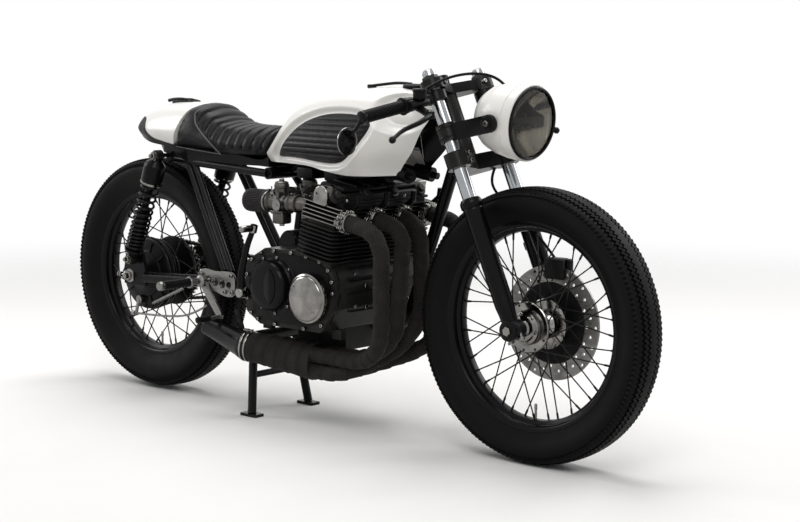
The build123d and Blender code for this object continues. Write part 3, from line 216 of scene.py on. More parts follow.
def oiled_steel():
    """Roller chain and fasteners: dark oiled steel with brighter rubbed spots."""
    surfaced("oiled_steel", "#77736d", "#3c3a37", 0.34, 1.2 * MM, 0.03 * MM, patch=6 * MM,
             spread=0.12, Metallic=1.0)


def carburettor_alloy():
    """Die-cast zinc alloy, aged by fuel to a warm grey-brown."""
    surfaced("carburettor_alloy", "#5f5c58", "#3a3835", 0.34, 1.5 * MM, 0.06 * MM, patch=18 * MM,
             spread=0.1, Metallic=0.85)


def tyre_rubber():
    """Carbon-black tyre rubber: nearly matt, greyed a little by dust."""
    surfaced("tyre_rubber", "#080808", "#0e0d0d", 0.55, 2 * MM, 0.05 * MM, patch=40 * MM,
             Specular_IOR_Level=0.08)


def moulded_rubber():
    """Moulded grip and boot rubber: soft black with a low sheen."""
    surfaced("moulded_rubber", "#080808", "#0d0d0e", 0.42, 1.4 * MM, 0.05 * MM, Specular_IOR_Level=0.1)


def fine_gauze():
    """Oiled cotton gauze of a filter: a dark plum-grey weave, drawn coarse enough to show."""
    surfaced("fine_gauze", "#2b2729", "#1a1819", 0.75, 2.2 * MM, 0.35 * MM, patch=14 * MM,
             Specular_IOR_Level=0.2)


def seat_leather():
    """Full-grain cowhide: pebbles about 2 mm across under a broad sheen, drawn coarse enough to show."""
    made = surfaced("seat_leather", "#09090a", "#0f0e10", 0.34, 9 * MM, 0.2 * MM, patch=70 * MM,
                    spread=0.06, Specular_IOR_Level=0.17)
    tree = made.node_tree
    coords = next(n for n in tree.nodes if n.type == "TEX_COORD")
    relief = next(n for n in tree.nodes if n.type == "BUMP")
    pebbles = add_node(tree, "ShaderNodeTexVoronoi",
                       {"Vector": coords.outputs["Object"], "Scale": 1 / (2.6 * MM)},
                       feature="DISTANCE_TO_EDGE")
    height = add_node(tree, "ShaderNodeMapRange", {"Value": pebbles.outputs["Distance"], "From Max": 0.25})
    add_node(tree, "ShaderNodeBump", {"Height": height.outputs[0], "Distance": 0.12 * MM,
                                      "Normal": relief.outputs[0]}, name="pebble_bump")
    shader = tree.nodes["Principled BSDF"]
    tree.links.new(tree.nodes["pebble_bump"].outputs[0], shader.inputs["Normal"])


def woven_wrap():
    """Woven glass heat tape: a plain weave of 2 mm yarns that follows the pipe, drawn at twice its size.
    Every other square of the weave is darkened as painted shade.
    """
    made = surfaced("woven_wrap", "#35302d", "#1a1817", 0.8, 3 * MM, 0.2 * MM, patch=45 * MM,
                    Specular_IOR_Level=0.2)
    tree = made.node_tree
    shader = tree.nodes["Principled BSDF"]
    relief = next(n for n in tree.nodes if n.type == "BUMP")
    along = add_node(tree, "ShaderNodeUVMap")
    weave = add_node(tree, "ShaderNodeTexChecker", {"Vector": along.outputs[0], "Scale": 1 / (4 * MM)})
    add_node(tree, "ShaderNodeBump", {"Height": weave.outputs["Fac"], "Distance": 0.5 * MM, "Strength": 0.7,
                                      "Normal": relief.outputs[0]}, name="weave_bump")
    tree.links.new(tree.nodes["weave_bump"].outputs[0], shader.inputs["Normal"])
    paint = shader.inputs["Base Color"].links[0].from_socket
    # Painted shade: every other square of the weave is darkened
    weave_shade = add_node(tree, "ShaderNodeMix", {0: weave.outputs["Fac"], 6: paint, 7: linear("#0b0a0a")},
                    data_type="RGBA", name="weave_shade_mix")
    tree.links.new(weave_shade.outputs[2], shader.inputs["Base Color"])


def smoked_glass():
    """Pressed lamp glass, lightly smoked: clear, with a soft ripple."""
    surfaced("smoked_glass", "#dddcd7", "#cfcec8", 0.01, 12 * MM, 0.0, spread=0.01,
             Transmission_Weight=1.0, IOR=1.2)


def lamp_reflector():
    """Vacuum-silvered reflector, a little warm and hazed."""
    surfaced("lamp_reflector", "#b3aea6", "#4a4742", 0.12, 3 * MM, 0.02 * MM, patch=26 * MM, Metallic=1.0)


def smoked_steel():
    """Chromed steel gone blue-black with heat: glossy dark grey, brighter where it was rubbed."""
    surfaced("smoked_steel", "#333232", "#1d1d1d", 0.24, 2 * MM, 0.02 * MM, patch=50 * MM, spread=0.08,
             Metallic=0.85)


def mirror_glass():
    """Silvered mirror glass, darkened slightly."""
    surfaced("mirror_glass", "#8d9194", "#84888b", 0.05, 20 * MM, 0.002 * MM, spread=0.01, Metallic=1.0)


def piping_with_highlight():
    """Waxed thread and piping, lighter than the hide: partly its own tone, partly a painted highlight of
    the shine along the piping.
    """
    surfaced("piping_with_highlight", "#3a3a3c", "#2a2a2c", 0.5, 1 * MM, 0.08 * MM)


FINISHES = (white_enamel, satin_powder_coat, cast_engine_paint, polished_aluminium, hard_chrome,
            bare_aluminium, oiled_steel, carburettor_alloy, tyre_rubber, moulded_rubber, fine_gauze,
            seat_leather, woven_wrap, smoked_glass, smoked_steel, lamp_reflector, mirror_glass,
            piping_with_highlight)


# Modelling helpers

def deselect():
    bpy.ops.object.select_all(action="DESELECT")


def only(obj):
    """Makes one object the active one and the only one selected."""
    deselect()
    obj.select_set(True)
    bpy.context.view_layer.objects.active = obj
    return obj


def named(name):
    made = bpy.context.active_object
    made.name = name
    return made


def edit(obj, mode="EDIT"):
    only(obj)
    bpy.ops.object.mode_set(mode=mode)


def applied(obj):
    """Applies an object's modifiers and its place to its mesh."""
    only(obj)
    for modifier in list(obj.modifiers):
        bpy.ops.object.modifier_apply(modifier=modifier.name)
    bpy.ops.object.transform_apply(location=True, rotation=True, scale=True)
    return obj


def modified(obj, kind, **settings):
    """Adds a modifier, sets it up and applies it."""
    modifier = obj.modifiers.new(kind.lower(), kind)
    for name, value in settings.items():
        setattr(modifier, name, value)
    return applied(obj)


def mended(obj):
    """Merges doubled points and turns every face outwards."""
    edit(obj)
    bpy.ops.mesh.select_all(action="SELECT")
    bpy.ops.mesh.remove_doubles(threshold=NEAR)
    bpy.ops.mesh.delete_loose(use_faces=False)
    bpy.ops.mesh.select_all(action="SELECT")
    bpy.ops.mesh.normals_make_consistent(inside=False)
    bpy.ops.object.mode_set(mode="OBJECT")
    return obj


def spun(name, outline, steps=48):
    """Spins a closed outline of (radius, height) points round Z."""
    deselect()
    bpy.ops.mesh.primitive_circle_add(vertices=len(outline), radius=1)
    made = named(name)
    for vertex, (radius, height) in zip(made.data.vertices, outline):
        vertex.co = (radius, 0, height)
    edit(made)
    bpy.ops.mesh.select_all(action="SELECT")
    bpy.ops.mesh.spin(steps=steps, angle=2 * math.pi, center=(0, 0, 0), axis=(0, 0, 1))
    bpy.ops.object.mode_set(mode="OBJECT")
    return mended(made)


def turned(name, outline, origin, up, steps=48):
    """A spun piece set down at a point, its height pointing along up."""
    return placed(spun(name, outline, steps), origin, up)


def lathed(name, outline_mm, origin, up, steps=48):
    """A turned piece whose outline is given in millimetres."""
    return turned(name, [(radius * MM, height * MM) for radius, height in outline_mm], origin, up, steps)


def solid_outline(*rings):
    """Closes (radius, height) rings to the axis at both ends, for a solid turned piece."""
    return [(0, rings[0][1]), *rings, (0, rings[-1][1])]


def aimed(origin, up, forward=None):
    """A matrix that sets a piece made about Z down at a point, pointing along up."""
    high = Vector(up).normalized()
    front = Vector(forward) if forward else high.orthogonal()
    side = high.cross(front).normalized()
    turn = Matrix((side.cross(high), side, high)).transposed().to_4x4()
    return Matrix.Translation(Vector(origin)) @ turn


def placed(obj, origin, up=Z, forward=None):
    """Sets a piece made about Z down at a point, pointing along up."""
    obj.matrix_world = aimed(origin, up, forward)
    return applied(obj)


def block(name, low, high, bevel, segments=2):
    """A box between two corners, with its edges bevelled."""
    low, high = Vector(low), Vector(high)
    deselect()
    bpy.ops.mesh.primitive_cube_add(size=1, location=(low + high) / 2)
    made = named(name)
    made.scale = [abs(size) for size in high - low]
    applied(made)
    edit(made)
    bpy.ops.mesh.select_all(action="SELECT")
    bpy.ops.mesh.bevel(offset=bevel, segments=segments, affect="EDGES")
    bpy.ops.object.mode_set(mode="OBJECT")
    return made


def plate(name, outline, thickness, bevel=0.0, segments=2):
    """A flat plate: an outline of (x, y) points, extruded up along Z, with its rims bevelled."""
    deselect()
    bpy.ops.mesh.primitive_circle_add(vertices=len(outline), radius=1, fill_type="NGON")
    made = named(name)
    for vertex, (x, y) in zip(made.data.vertices, outline):
        vertex.co = (x, y, 0)
    edit(made)
    bpy.ops.mesh.select_all(action="SELECT")
    bpy.ops.mesh.extrude_region_move(TRANSFORM_OT_translate={"value": (0, 0, thickness)})
    bpy.ops.mesh.select_all(action="SELECT")
    bpy.ops.mesh.normals_make_consistent(inside=False)
    bpy.ops.object.mode_set(mode="OBJECT")
    if bevel:
        modified(made, "BEVEL", width=bevel, segments=segments, limit_method="ANGLE")
    return made


def side_plate(name, outline, y_from, y_to, bevel=0.0, segments=2):
    """A plate whose outline is (x, z) points, between two values of y."""
    made = plate(name, outline, abs(y_to - y_from), bevel, segments)
    return placed(made, Y * max(y_from, y_to), -Y, X)


def tube(name, points, radius, sides=12, smooth=True):
    """A round tube along points, with closed ends."""
    line = bpy.data.curves.new(name, "CURVE")
    line.dimensions = "3D"
    spline = line.splines.new("NURBS" if smooth else "POLY")
    spline.points.add(len(points) - 1)
    for point, spot in zip(spline.points, points):
        point.co = (*spot, 1)
    if smooth:
        spline.order_u = 3
        spline.use_endpoint_u = True
        line.resolution_u = 8
    line.bevel_depth = radius
    line.bevel_resolution = max(0, (sides - 4) // 2)
    line.use_fill_caps = True
    made = bpy.data.objects.new(name, line)
    bpy.context.collection.objects.link(made)
    only(made)
    bpy.ops.object.convert(target="MESH")
    return mended(named(name))


def rod(name, start, end, radius, sides=16):
    """A straight round bar between two points."""
    start, end = Vector(start), Vector(end)
    length = (end - start).length
    return turned(name, solid_outline((radius, 0), (radius, length)), start, end - start, sides)


def joined(name, *pieces):
    """Joins pieces into one mesh."""
    deselect()
    for piece in pieces:
        piece.select_set(True)
    bpy.context.view_layer.objects.active = pieces[0]
    if len(pieces) > 1:
        bpy.ops.object.join()
    return named(name)


def repeated(name, template, matrices):
    """Copies a piece to each place, each copy with its own mesh, and joins the copies."""
    copies = []
    for matrix in matrices:
        twin = template.copy()
        twin.data = template.data.copy()
        bpy.context.collection.objects.link(twin)
        twin.matrix_world = matrix @ template.matrix_world
        copies.append(twin)
    bpy.data.objects.remove(template)
    return applied(joined(name, *copies))


def drilled(obj, *cutters):
    """Takes the shape of the cutters out of a piece."""
    cutter = joined("cutter", *cutters)
    modified(obj, "BOOLEAN", operation="DIFFERENCE", object=cutter, solver="EXACT")
    bpy.data.objects.remove(cutter)
    return obj


def mirrored(name, obj):
    """A copy on the other side of the bike."""
    twin = obj.copy()
    twin.data = obj.data.copy()
    twin.name = name
    bpy.context.collection.objects.link(twin)
    twin.data.transform(Matrix.Scale(-1, 4, Y))
    twin.data.flip_normals()
    return twin


def settled(obj, body, slot, material, *nodes, angle=35):
    """Finishes a piece: smooth shading, its material, the body it rides on and the nodes it stands for."""
    applied(obj)
    bpy.ops.object.shade_smooth_by_angle(angle=math.radians(angle))
    if material:
        obj.data.materials.clear()
        obj.data.materials.append(made_materials[material])
    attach(obj, body)
    if nodes:
        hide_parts(*nodes)
    return obj


def arc_points(centre, radius, start_deg, end_deg, count):
    """Points of an arc in a plane, as (x, y) pairs."""
    turns = [math.radians(start_deg + (end_deg - start_deg) * step / (count - 1)) for step in range(count)]
    return [(centre[0] + radius * math.cos(turn), centre[1] + radius * math.sin(turn)) for turn in turns]


# Sizes and colours a user may change

class MotorcycleSizes(PropertyGroup):
    """Sizes of the fine pieces that the frame leaves open."""
    tread_depth: FloatProperty(name="Tread depth", description="Depth of the tyre's grooves",
                               default=6 * MM, unit="LENGTH", subtype="DISTANCE")
    tread_steps: IntProperty(name="Tread steps", description="Tread blocks round a tyre",
                             default=160, min=24)
    spokes: IntProperty(name="Spokes", description="Spokes in each wheel", default=40, min=8)
    spoke_radius: FloatProperty(name="Spoke radius", description="Radius of a butted spoke",
                                default=1.8 * MM, unit="LENGTH", subtype="DISTANCE")
    channel_depth: FloatProperty(name="Channel depth", description="Depth of the seat's sewn channels",
                                 default=6 * MM, unit="LENGTH", subtype="DISTANCE")
    panel_ribs: IntProperty(name="Panel ribs", description="Padded ribs of a knee panel", default=8, min=2)
    rib_height: FloatProperty(name="Rib height", description="Height of a knee panel's ribs",
                              default=5 * MM, unit="LENGTH", subtype="DISTANCE")
    wrap_pitch: FloatProperty(name="Wrap pitch", description="Advance of the pipe wrap in one turn",
                              default=38 * MM, unit="LENGTH", subtype="DISTANCE")
    wrap_thickness: FloatProperty(name="Wrap thickness", description="Thickness of the pipe wrap",
                                  default=2.4 * MM, unit="LENGTH", subtype="DISTANCE")
    spring_turns: IntProperty(name="Spring turns", description="Turns of a rear spring", default=13, min=4)
    spring_wire: FloatProperty(name="Spring wire", description="Radius of the rear springs' wire",
                               default=3.6 * MM, unit="LENGTH", subtype="DISTANCE")
    chain_pitch: FloatProperty(name="Chain pitch", description="Pitch of the drive chain",
                               default=15.875 * MM, unit="LENGTH", subtype="DISTANCE")
    lens_flutes: IntProperty(name="Lens flutes", description="Flutes pressed in the lamp glass",
                             default=18, min=2)


class MotorcycleColours(PropertyGroup):
    """Colours of the stage."""
    floor: FloatVectorProperty(name="Floor", description="Colour of the plain floor", subtype="COLOR",
                               size=4, default=linear("#eeece9"), min=0, max=1)
    sky: FloatVectorProperty(name="Soft light", description="Colour of the light from all round",
                             subtype="COLOR", size=4, default=linear("#c9ccd1"), min=0, max=1)


# Stage

CAMERA_PLACE = (3.1905, -3.2734, 1.0160)
CAMERA_YAW_DEG = 131.90
CAMERA_DROP_DEG = 7.2065
CAMERA_ROLL_DEG = 0.152
CAMERA_LENS = 76.6
CAMERA_SENSOR = 36
CAMERA_REACH = 100
SKY_STRENGTH = 0.45
FLOOR_RADIUS = 5.0
FLOOR_SIDES = 96
FLOOR_FADE_START = 1.7
FLOOR_FADE_END = FLOOR_RADIUS * 0.95
FLOOR_MOTTLE = 3.0
FLOOR_MOTTLE_GAIN = 1.06
# columns: name, place, aim, side, watts
LAMPS = (("key_lamp", (2.6, -2.6, 3.9), (0.0, 0.0, 0.5), 2.4, 84),
         ("top_lamp", (-0.6, 0.6, 4.2), (0.0, 0.0, 0.4), 3.0, 128),
         ("rear_lamp", (-3.8, -1.6, 2.4), (-0.3, 0.0, 0.5), 1.6, 44),
         ("far_lamp", (1.5, 3.8, 2.6), (0.0, 0.0, 0.5), 2.0, 52),)


def floor_finish(colour):
    """Plain pale floor that thins out to the background, so that no horizon shows."""
    made = bpy.data.materials.new("pale_floor")
    made.use_nodes = True
    tree = made.node_tree
    shader = tree.nodes["Principled BSDF"]
    coords = add_node(tree, "ShaderNodeTexCoord")
    reach = add_node(tree, "ShaderNodeVectorMath", {0: coords.outputs["Object"]}, operation="LENGTH")
    fade = add_node(tree, "ShaderNodeMapRange",
                    {"Value": reach.outputs["Value"], "From Min": FLOOR_FADE_START,
                     "From Max": FLOOR_FADE_END, "To Min": 1.0, "To Max": 0.0},
                    interpolation_type="SMOOTHSTEP")
    mottle = add_node(tree, "ShaderNodeTexNoise",
                      {"Vector": coords.outputs["Object"], "Scale": FLOOR_MOTTLE, "Detail": 5.0})
    paler = tuple(min(1.0, share * FLOOR_MOTTLE_GAIN) for share in colour[:3]) + (1.0,)
    tint = add_node(tree, "ShaderNodeMix", {0: mottle.outputs[0], 6: tuple(colour), 7: paler},
                    data_type="RGBA")
    tree.links.new(tint.outputs[2], shader.inputs["Base Color"])
    tree.links.new(fade.outputs[0], shader.inputs["Alpha"])
    shader.inputs["Roughness"].default_value = 0.8
    shader.inputs["Specular IOR Level"].default_value = 0.1
    return made


class MOTORCYCLE_OT_stage(Operator):
    """Sets the floor, the soft lamps and the camera"""
    bl_idname = "motorcycle.stage"
    bl_label = "Stage"

    def execute(self, context):
        colours = context.scene.motorcycle_colours
        deselect()
        bpy.ops.mesh.primitive_circle_add(vertices=FLOOR_SIDES, radius=FLOOR_RADIUS, fill_type="NGON")
        floor = named("floor")
        floor.data.materials.append(floor_finish(colours.floor))
        for name, place, aim, side, watts in LAMPS:
            light = bpy.data.lights.new(name, "AREA")
            light.size = side
            light.energy = watts
            lamp = bpy.data.objects.new(name, light)
            context.collection.objects.link(lamp)
            lamp.matrix_world = aimed(place, Vector(place) - Vector(aim))
        world = context.scene.world or bpy.data.worlds.new("surround")
        context.scene.world = world
        world.use_nodes = True
        tree = world.node_tree
        tree.nodes.clear()
        path = add_node(tree, "ShaderNodeLightPath")
        seen = add_node(tree, "ShaderNodeMath",
                        {0: path.outputs["Is Camera Ray"], 1: path.outputs["Is Glossy Ray"]},
                        operation="MAXIMUM")
        through = add_node(tree, "ShaderNodeMath",
                           {0: seen.outputs[0], 1: path.outputs["Is Transmission Ray"]},
                           operation="MAXIMUM")
        soft = add_node(tree, "ShaderNodeBackground",
                        {"Color": tuple(colours.sky), "Strength": SKY_STRENGTH})
        white = add_node(tree, "ShaderNodeBackground", {"Color": (1, 1, 1, 1), "Strength": 1.0})
        both = add_node(tree, "ShaderNodeMixShader",
                        {0: through.outputs[0], 1: soft.outputs[0], 2: white.outputs[0]})
        add_node(tree, "ShaderNodeOutputWorld", {"Surface": both.outputs[0]})
        context.scene.view_settings.view_transform = "Standard"
        self.camera(context)
        return {"FINISHED"}

    def camera(self, context):
        """The camera that was fitted to the wheels in the photograph."""
        lens = bpy.data.cameras.new("photo_camera")
        lens.lens = CAMERA_LENS
        lens.sensor_width = CAMERA_SENSOR
        lens.clip_end = CAMERA_REACH
        camera = bpy.data.objects.new("photo_camera", lens)
        context.collection.objects.link(camera)
        yaw, drop, roll = (math.radians(turn)
                           for turn in (CAMERA_YAW_DEG, CAMERA_DROP_DEG, CAMERA_ROLL_DEG))
        ahead = Vector((math.cos(yaw) * math.cos(drop), math.sin(yaw) * math.cos(drop), -math.sin(drop)))
        across = Vector((math.sin(yaw), -math.cos(yaw), 0))
        above = across.cross(ahead)
        right = across * math.cos(roll) + above * math.sin(roll)
        up = above * math.cos(roll) - across * math.sin(roll)
        turn = Matrix((right, up, -ahead)).transposed().to_4x4()
        camera.matrix_world = Matrix.Translation(CAMERA_PLACE) @ turn
        context.scene.camera = camera


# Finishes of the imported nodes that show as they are; the others are powder coated
NODE_FINISHES = {"engine_cases": "cast_engine_paint", "sprocket_cover": "cast_engine_paint",
                 "stand_pin": "bare_aluminium"}


class MOTORCYCLE_OT_finishes(Operator):
    """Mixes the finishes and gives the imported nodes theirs"""
    bl_idname = "motorcycle.finishes"
    bl_label = "Finishes"

    def execute(self, context):
        for finish in FINISHES:
            finish()
        for node, obj in frame["nodes"].items():
            finish = NODE_FINISHES.get(node, "satin_powder_coat")
            obj.data.materials.clear()
            obj.data.materials.append(made_materials[finish])
        return {"FINISHED"}


def smoothed(table, places):
    """Smooth values of a table's columns at places along its first column."""
    table = np.array(table, dtype=float)
    stations, values = table[:, 0], table[:, 1:]
    slopes = np.gradient(values, stations, axis=0)
    at = np.clip(np.asarray(places, dtype=float), stations[0], stations[-1])
    index = np.clip(np.searchsorted(stations, at) - 1, 0, len(stations) - 2)
    step = (stations[index + 1] - stations[index])[..., None]
    share = (at - stations[index])[..., None] / step
    return (values[index] * (2 * share ** 3 - 3 * share ** 2 + 1)
            + step * slopes[index] * (share ** 3 - 2 * share ** 2 + share)
            + values[index + 1] * (3 * share ** 2 - 2 * share ** 3)
            + step * slopes[index + 1] * (share ** 3 - share ** 2))


def eased(values, start, end):
    """Rises smoothly from 0 at start to 1 at end."""
    share = np.clip((np.asarray(values, dtype=float) - start) / (end - start), 0, 1)
    return share * share * (3 - 2 * share)


def skin(name, rows):
    """A surface through rows of points, made from a grid; rows that meet are merged."""
    rows = np.asarray(rows, dtype=float)
    deselect()
    bpy.ops.mesh.primitive_grid_add(x_subdivisions=rows.shape[1] - 1, y_subdivisions=rows.shape[0] - 1)
    made = named(name)
    made.data.vertices.foreach_set("co", rows.reshape(-1))
    made.data.update()
    return mended(made)


def spread(origin, axis, count, start_deg=0.0, end_deg=360.0):
    """Turns that repeat a piece round an axis through a point, at even steps."""
    origin = Vector(origin)
    step = (end_deg - start_deg) / count
    return [Matrix.Translation(origin) @ Matrix.Rotation(math.radians(start_deg + step * index), 4, axis)
            @ Matrix.Translation(-origin) for index in range(count)]


# Wheels

# columns: half width share, height share, zigzag share; from the bead to the middle of the tread
TYRE_SHAPE = ((0.42, -0.03, 0), (0.54, 0.0, 0), (0.61, 0.05, 0), (0.665, 0.13, 0), (0.71, 0.165, 0),
              (0.735, 0.19, 0), (0.80, 0.245, 0), (0.88, 0.33, 0), (0.95, 0.43, 0), (0.99, 0.53, 0),
              (0.995, 0.62, 0), (0.965, 0.715, 0), (0.905, 0.765, 0), (0.962, 0.785, 0.06),
              (0.92, 0.83, 0.07), (0.86, 0.868, 0), (0.80, 0.90, 0), (0.70, 0.932, 0.09),
              (0.58, 0.96, 0.09), (0.48, 0.974, 0), (0.38, 0.985, 0.09), (0.26, 0.993, 0.09),
              (0.12, 0.999, 0))
GROOVES = ((17, 18), (20, 21))
# How far the spokes' holes lie below the rim's edge
SPOKE_SEAT = 28 * MM


def treaded_tyre(name, axle, node, sizes):
    """A ribbed road tyre: zigzag grooves round the tread and a toothed shoulder."""
    low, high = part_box(node)
    outer = (high.z - low.z) / 2
    half = (high.y - low.y) / 2
    bead = rim_radius_of(node)
    height = outer - bead
    side = []
    for index, (wide, up, zigzag) in enumerate(TYRE_SHAPE):
        side.append((wide * half, bead + up * height, zigzag * half))
        for first, last in GROOVES:
            if index == first:
                side.append((wide * half, bead + up * height - sizes.tread_depth, zigzag * half))
                next_wide, next_up, zigzag = TYRE_SHAPE[last]
                side.append((next_wide * half, bead + next_up * height - sizes.tread_depth, zigzag * half))
    profile = side + [(0, outer, 0)] + [(-wide, radius, zigzag) for wide, radius, zigzag in reversed(side)]
    profile.append(profile[0])
    across, radii, zigzags = np.array(profile).T
    steps = 2 * sizes.tread_steps
    turns = np.linspace(0, 2 * math.pi, steps + 1)
    sway = np.where(np.arange(steps + 1) % 2 == 0, 1.0, -1.0)
    sway[-1] = sway[0]
    rows = np.stack((axle.x + np.cos(turns)[:, None] * radii, axle.y + across + sway[:, None] * zigzags,
                     axle.z + np.sin(turns)[:, None] * radii), axis=2)
    return skin(name, rows)


def rim_radius_of(tyre_node):
    """The radius at which a tyre's bead meets its rim."""
    low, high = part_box(tyre_node.replace("tyre", "rim"))
    return (high.z - low.z) / 2 - 4 * MM


def wheel_rim(name, axle, node):
    """A rolled rim with curled lips and a drop centre."""
    low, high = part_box(node)
    radius = (high.z - low.z) / 2
    half = (high.y - low.y) / 2
    outside = [(radius - 2 * MM, half), (radius, half - 2 * MM), (radius, half - 5 * MM),
               (radius - 3 * MM, half - 6.5 * MM), (radius - 11 * MM, half - 8 * MM),
               (radius - 14 * MM, half - 12 * MM), (radius - 15 * MM, 14 * MM), (radius - 23 * MM, 9 * MM)]
    inside = [(radius - 28 * MM, 8 * MM), (radius - 26.5 * MM, 12 * MM), (radius - 18.5 * MM, 17 * MM),
              (radius - 18 * MM, half - 12 * MM), (radius - 16 * MM, half - 6 * MM),
              (radius - 12 * MM, half - 2.5 * MM), (radius - 6 * MM, half - 0.5 * MM)]
    outline = outside + [(r, -y) for r, y in reversed(outside)]
    outline += [(r, -y) for r, y in reversed(inside)] + inside
    return turned(name, outline, axle, Y, 112)


def laced_spokes(name, axle, foot_radius, flange_half, tip_radius, sizes):
    """Butted spokes with their nipples: pulled forwards and backwards in turn from both flanges."""
    lean = math.radians(46)
    pieces = []
    count = sizes.spokes // 4
    for side in (-1, 1):
        for pull in (-1, 1):
            tip_turn = 2 * math.pi / sizes.spokes * ((1 + side) / 2 + 1 + pull)
            foot_turn = tip_turn - pull * lean
            foot = Vector((math.cos(foot_turn) * foot_radius, side * (flange_half + pull * 2.5 * MM),
                           math.sin(foot_turn) * foot_radius))
            tip = Vector((math.cos(tip_turn) * tip_radius, side * 5 * MM, math.sin(tip_turn) * tip_radius))
            run = (tip - foot).normalized()
            spoke = rod("spoke", foot, tip, sizes.spoke_radius, 7)
            nipple = lathed("nipple", solid_outline((2.4, -16), (2.9, -12), (2.9, 0), (4.2, 2)), tip,
                            run, 7)
            head = lathed("head", solid_outline((3.4, -2), (3.4, 1.5)), foot, Y, 7)
            laced = joined("laced", spoke, nipple, head)
            laced.matrix_world = Matrix.Translation(axle)
            applied(laced)
            pieces.append(repeated("laced", laced, spread(axle, "Y", count)))
    return joined(name, *pieces)


def bolts_round(name, centre, axis, radius, count, head_radius, head_height, start_deg=0.0):
    """Socket-headed bolts in a circle."""
    axis = Vector(axis).normalized()
    across = axis.orthogonal().normalized()
    bolt = socket_bolt("bolt", Vector(centre) + across * radius, axis, head_radius, head_height)
    return repeated(name, bolt, spread(centre, axis, count, start_deg, start_deg + 360))


def socket_bolt(name, origin, axis, head_radius, head_height):
    """A cap screw: a chamfered round head with a hexagon socket."""
    socket = head_radius * 0.52
    outline = [(0, -head_height * 0.5), (head_radius, -head_height * 0.5), (head_radius, head_height * 0.8),
               (head_radius * 0.85, head_height), (socket, head_height), (socket, head_height * 0.35),
               (0, head_height * 0.35)]
    return turned(name, outline, origin, axis, 12)


def hexagon(name, origin, axis, radius, height):
    """A hexagon nut or bolt head with its corners taken off."""
    outline = [(0, 0), (radius, 0), (radius, height * 0.8), (radius * 0.86, height), (0, height)]
    return turned(name, outline, origin, axis, 6)


def two_toned(obj, material, chosen):
    """Gives a second finish to the faces that a test picks by centre and normal."""
    obj.data.materials.append(made_materials[material])
    for face in obj.data.polygons:
        if chosen(face.center, face.normal):
            face.material_index = 1
    return obj


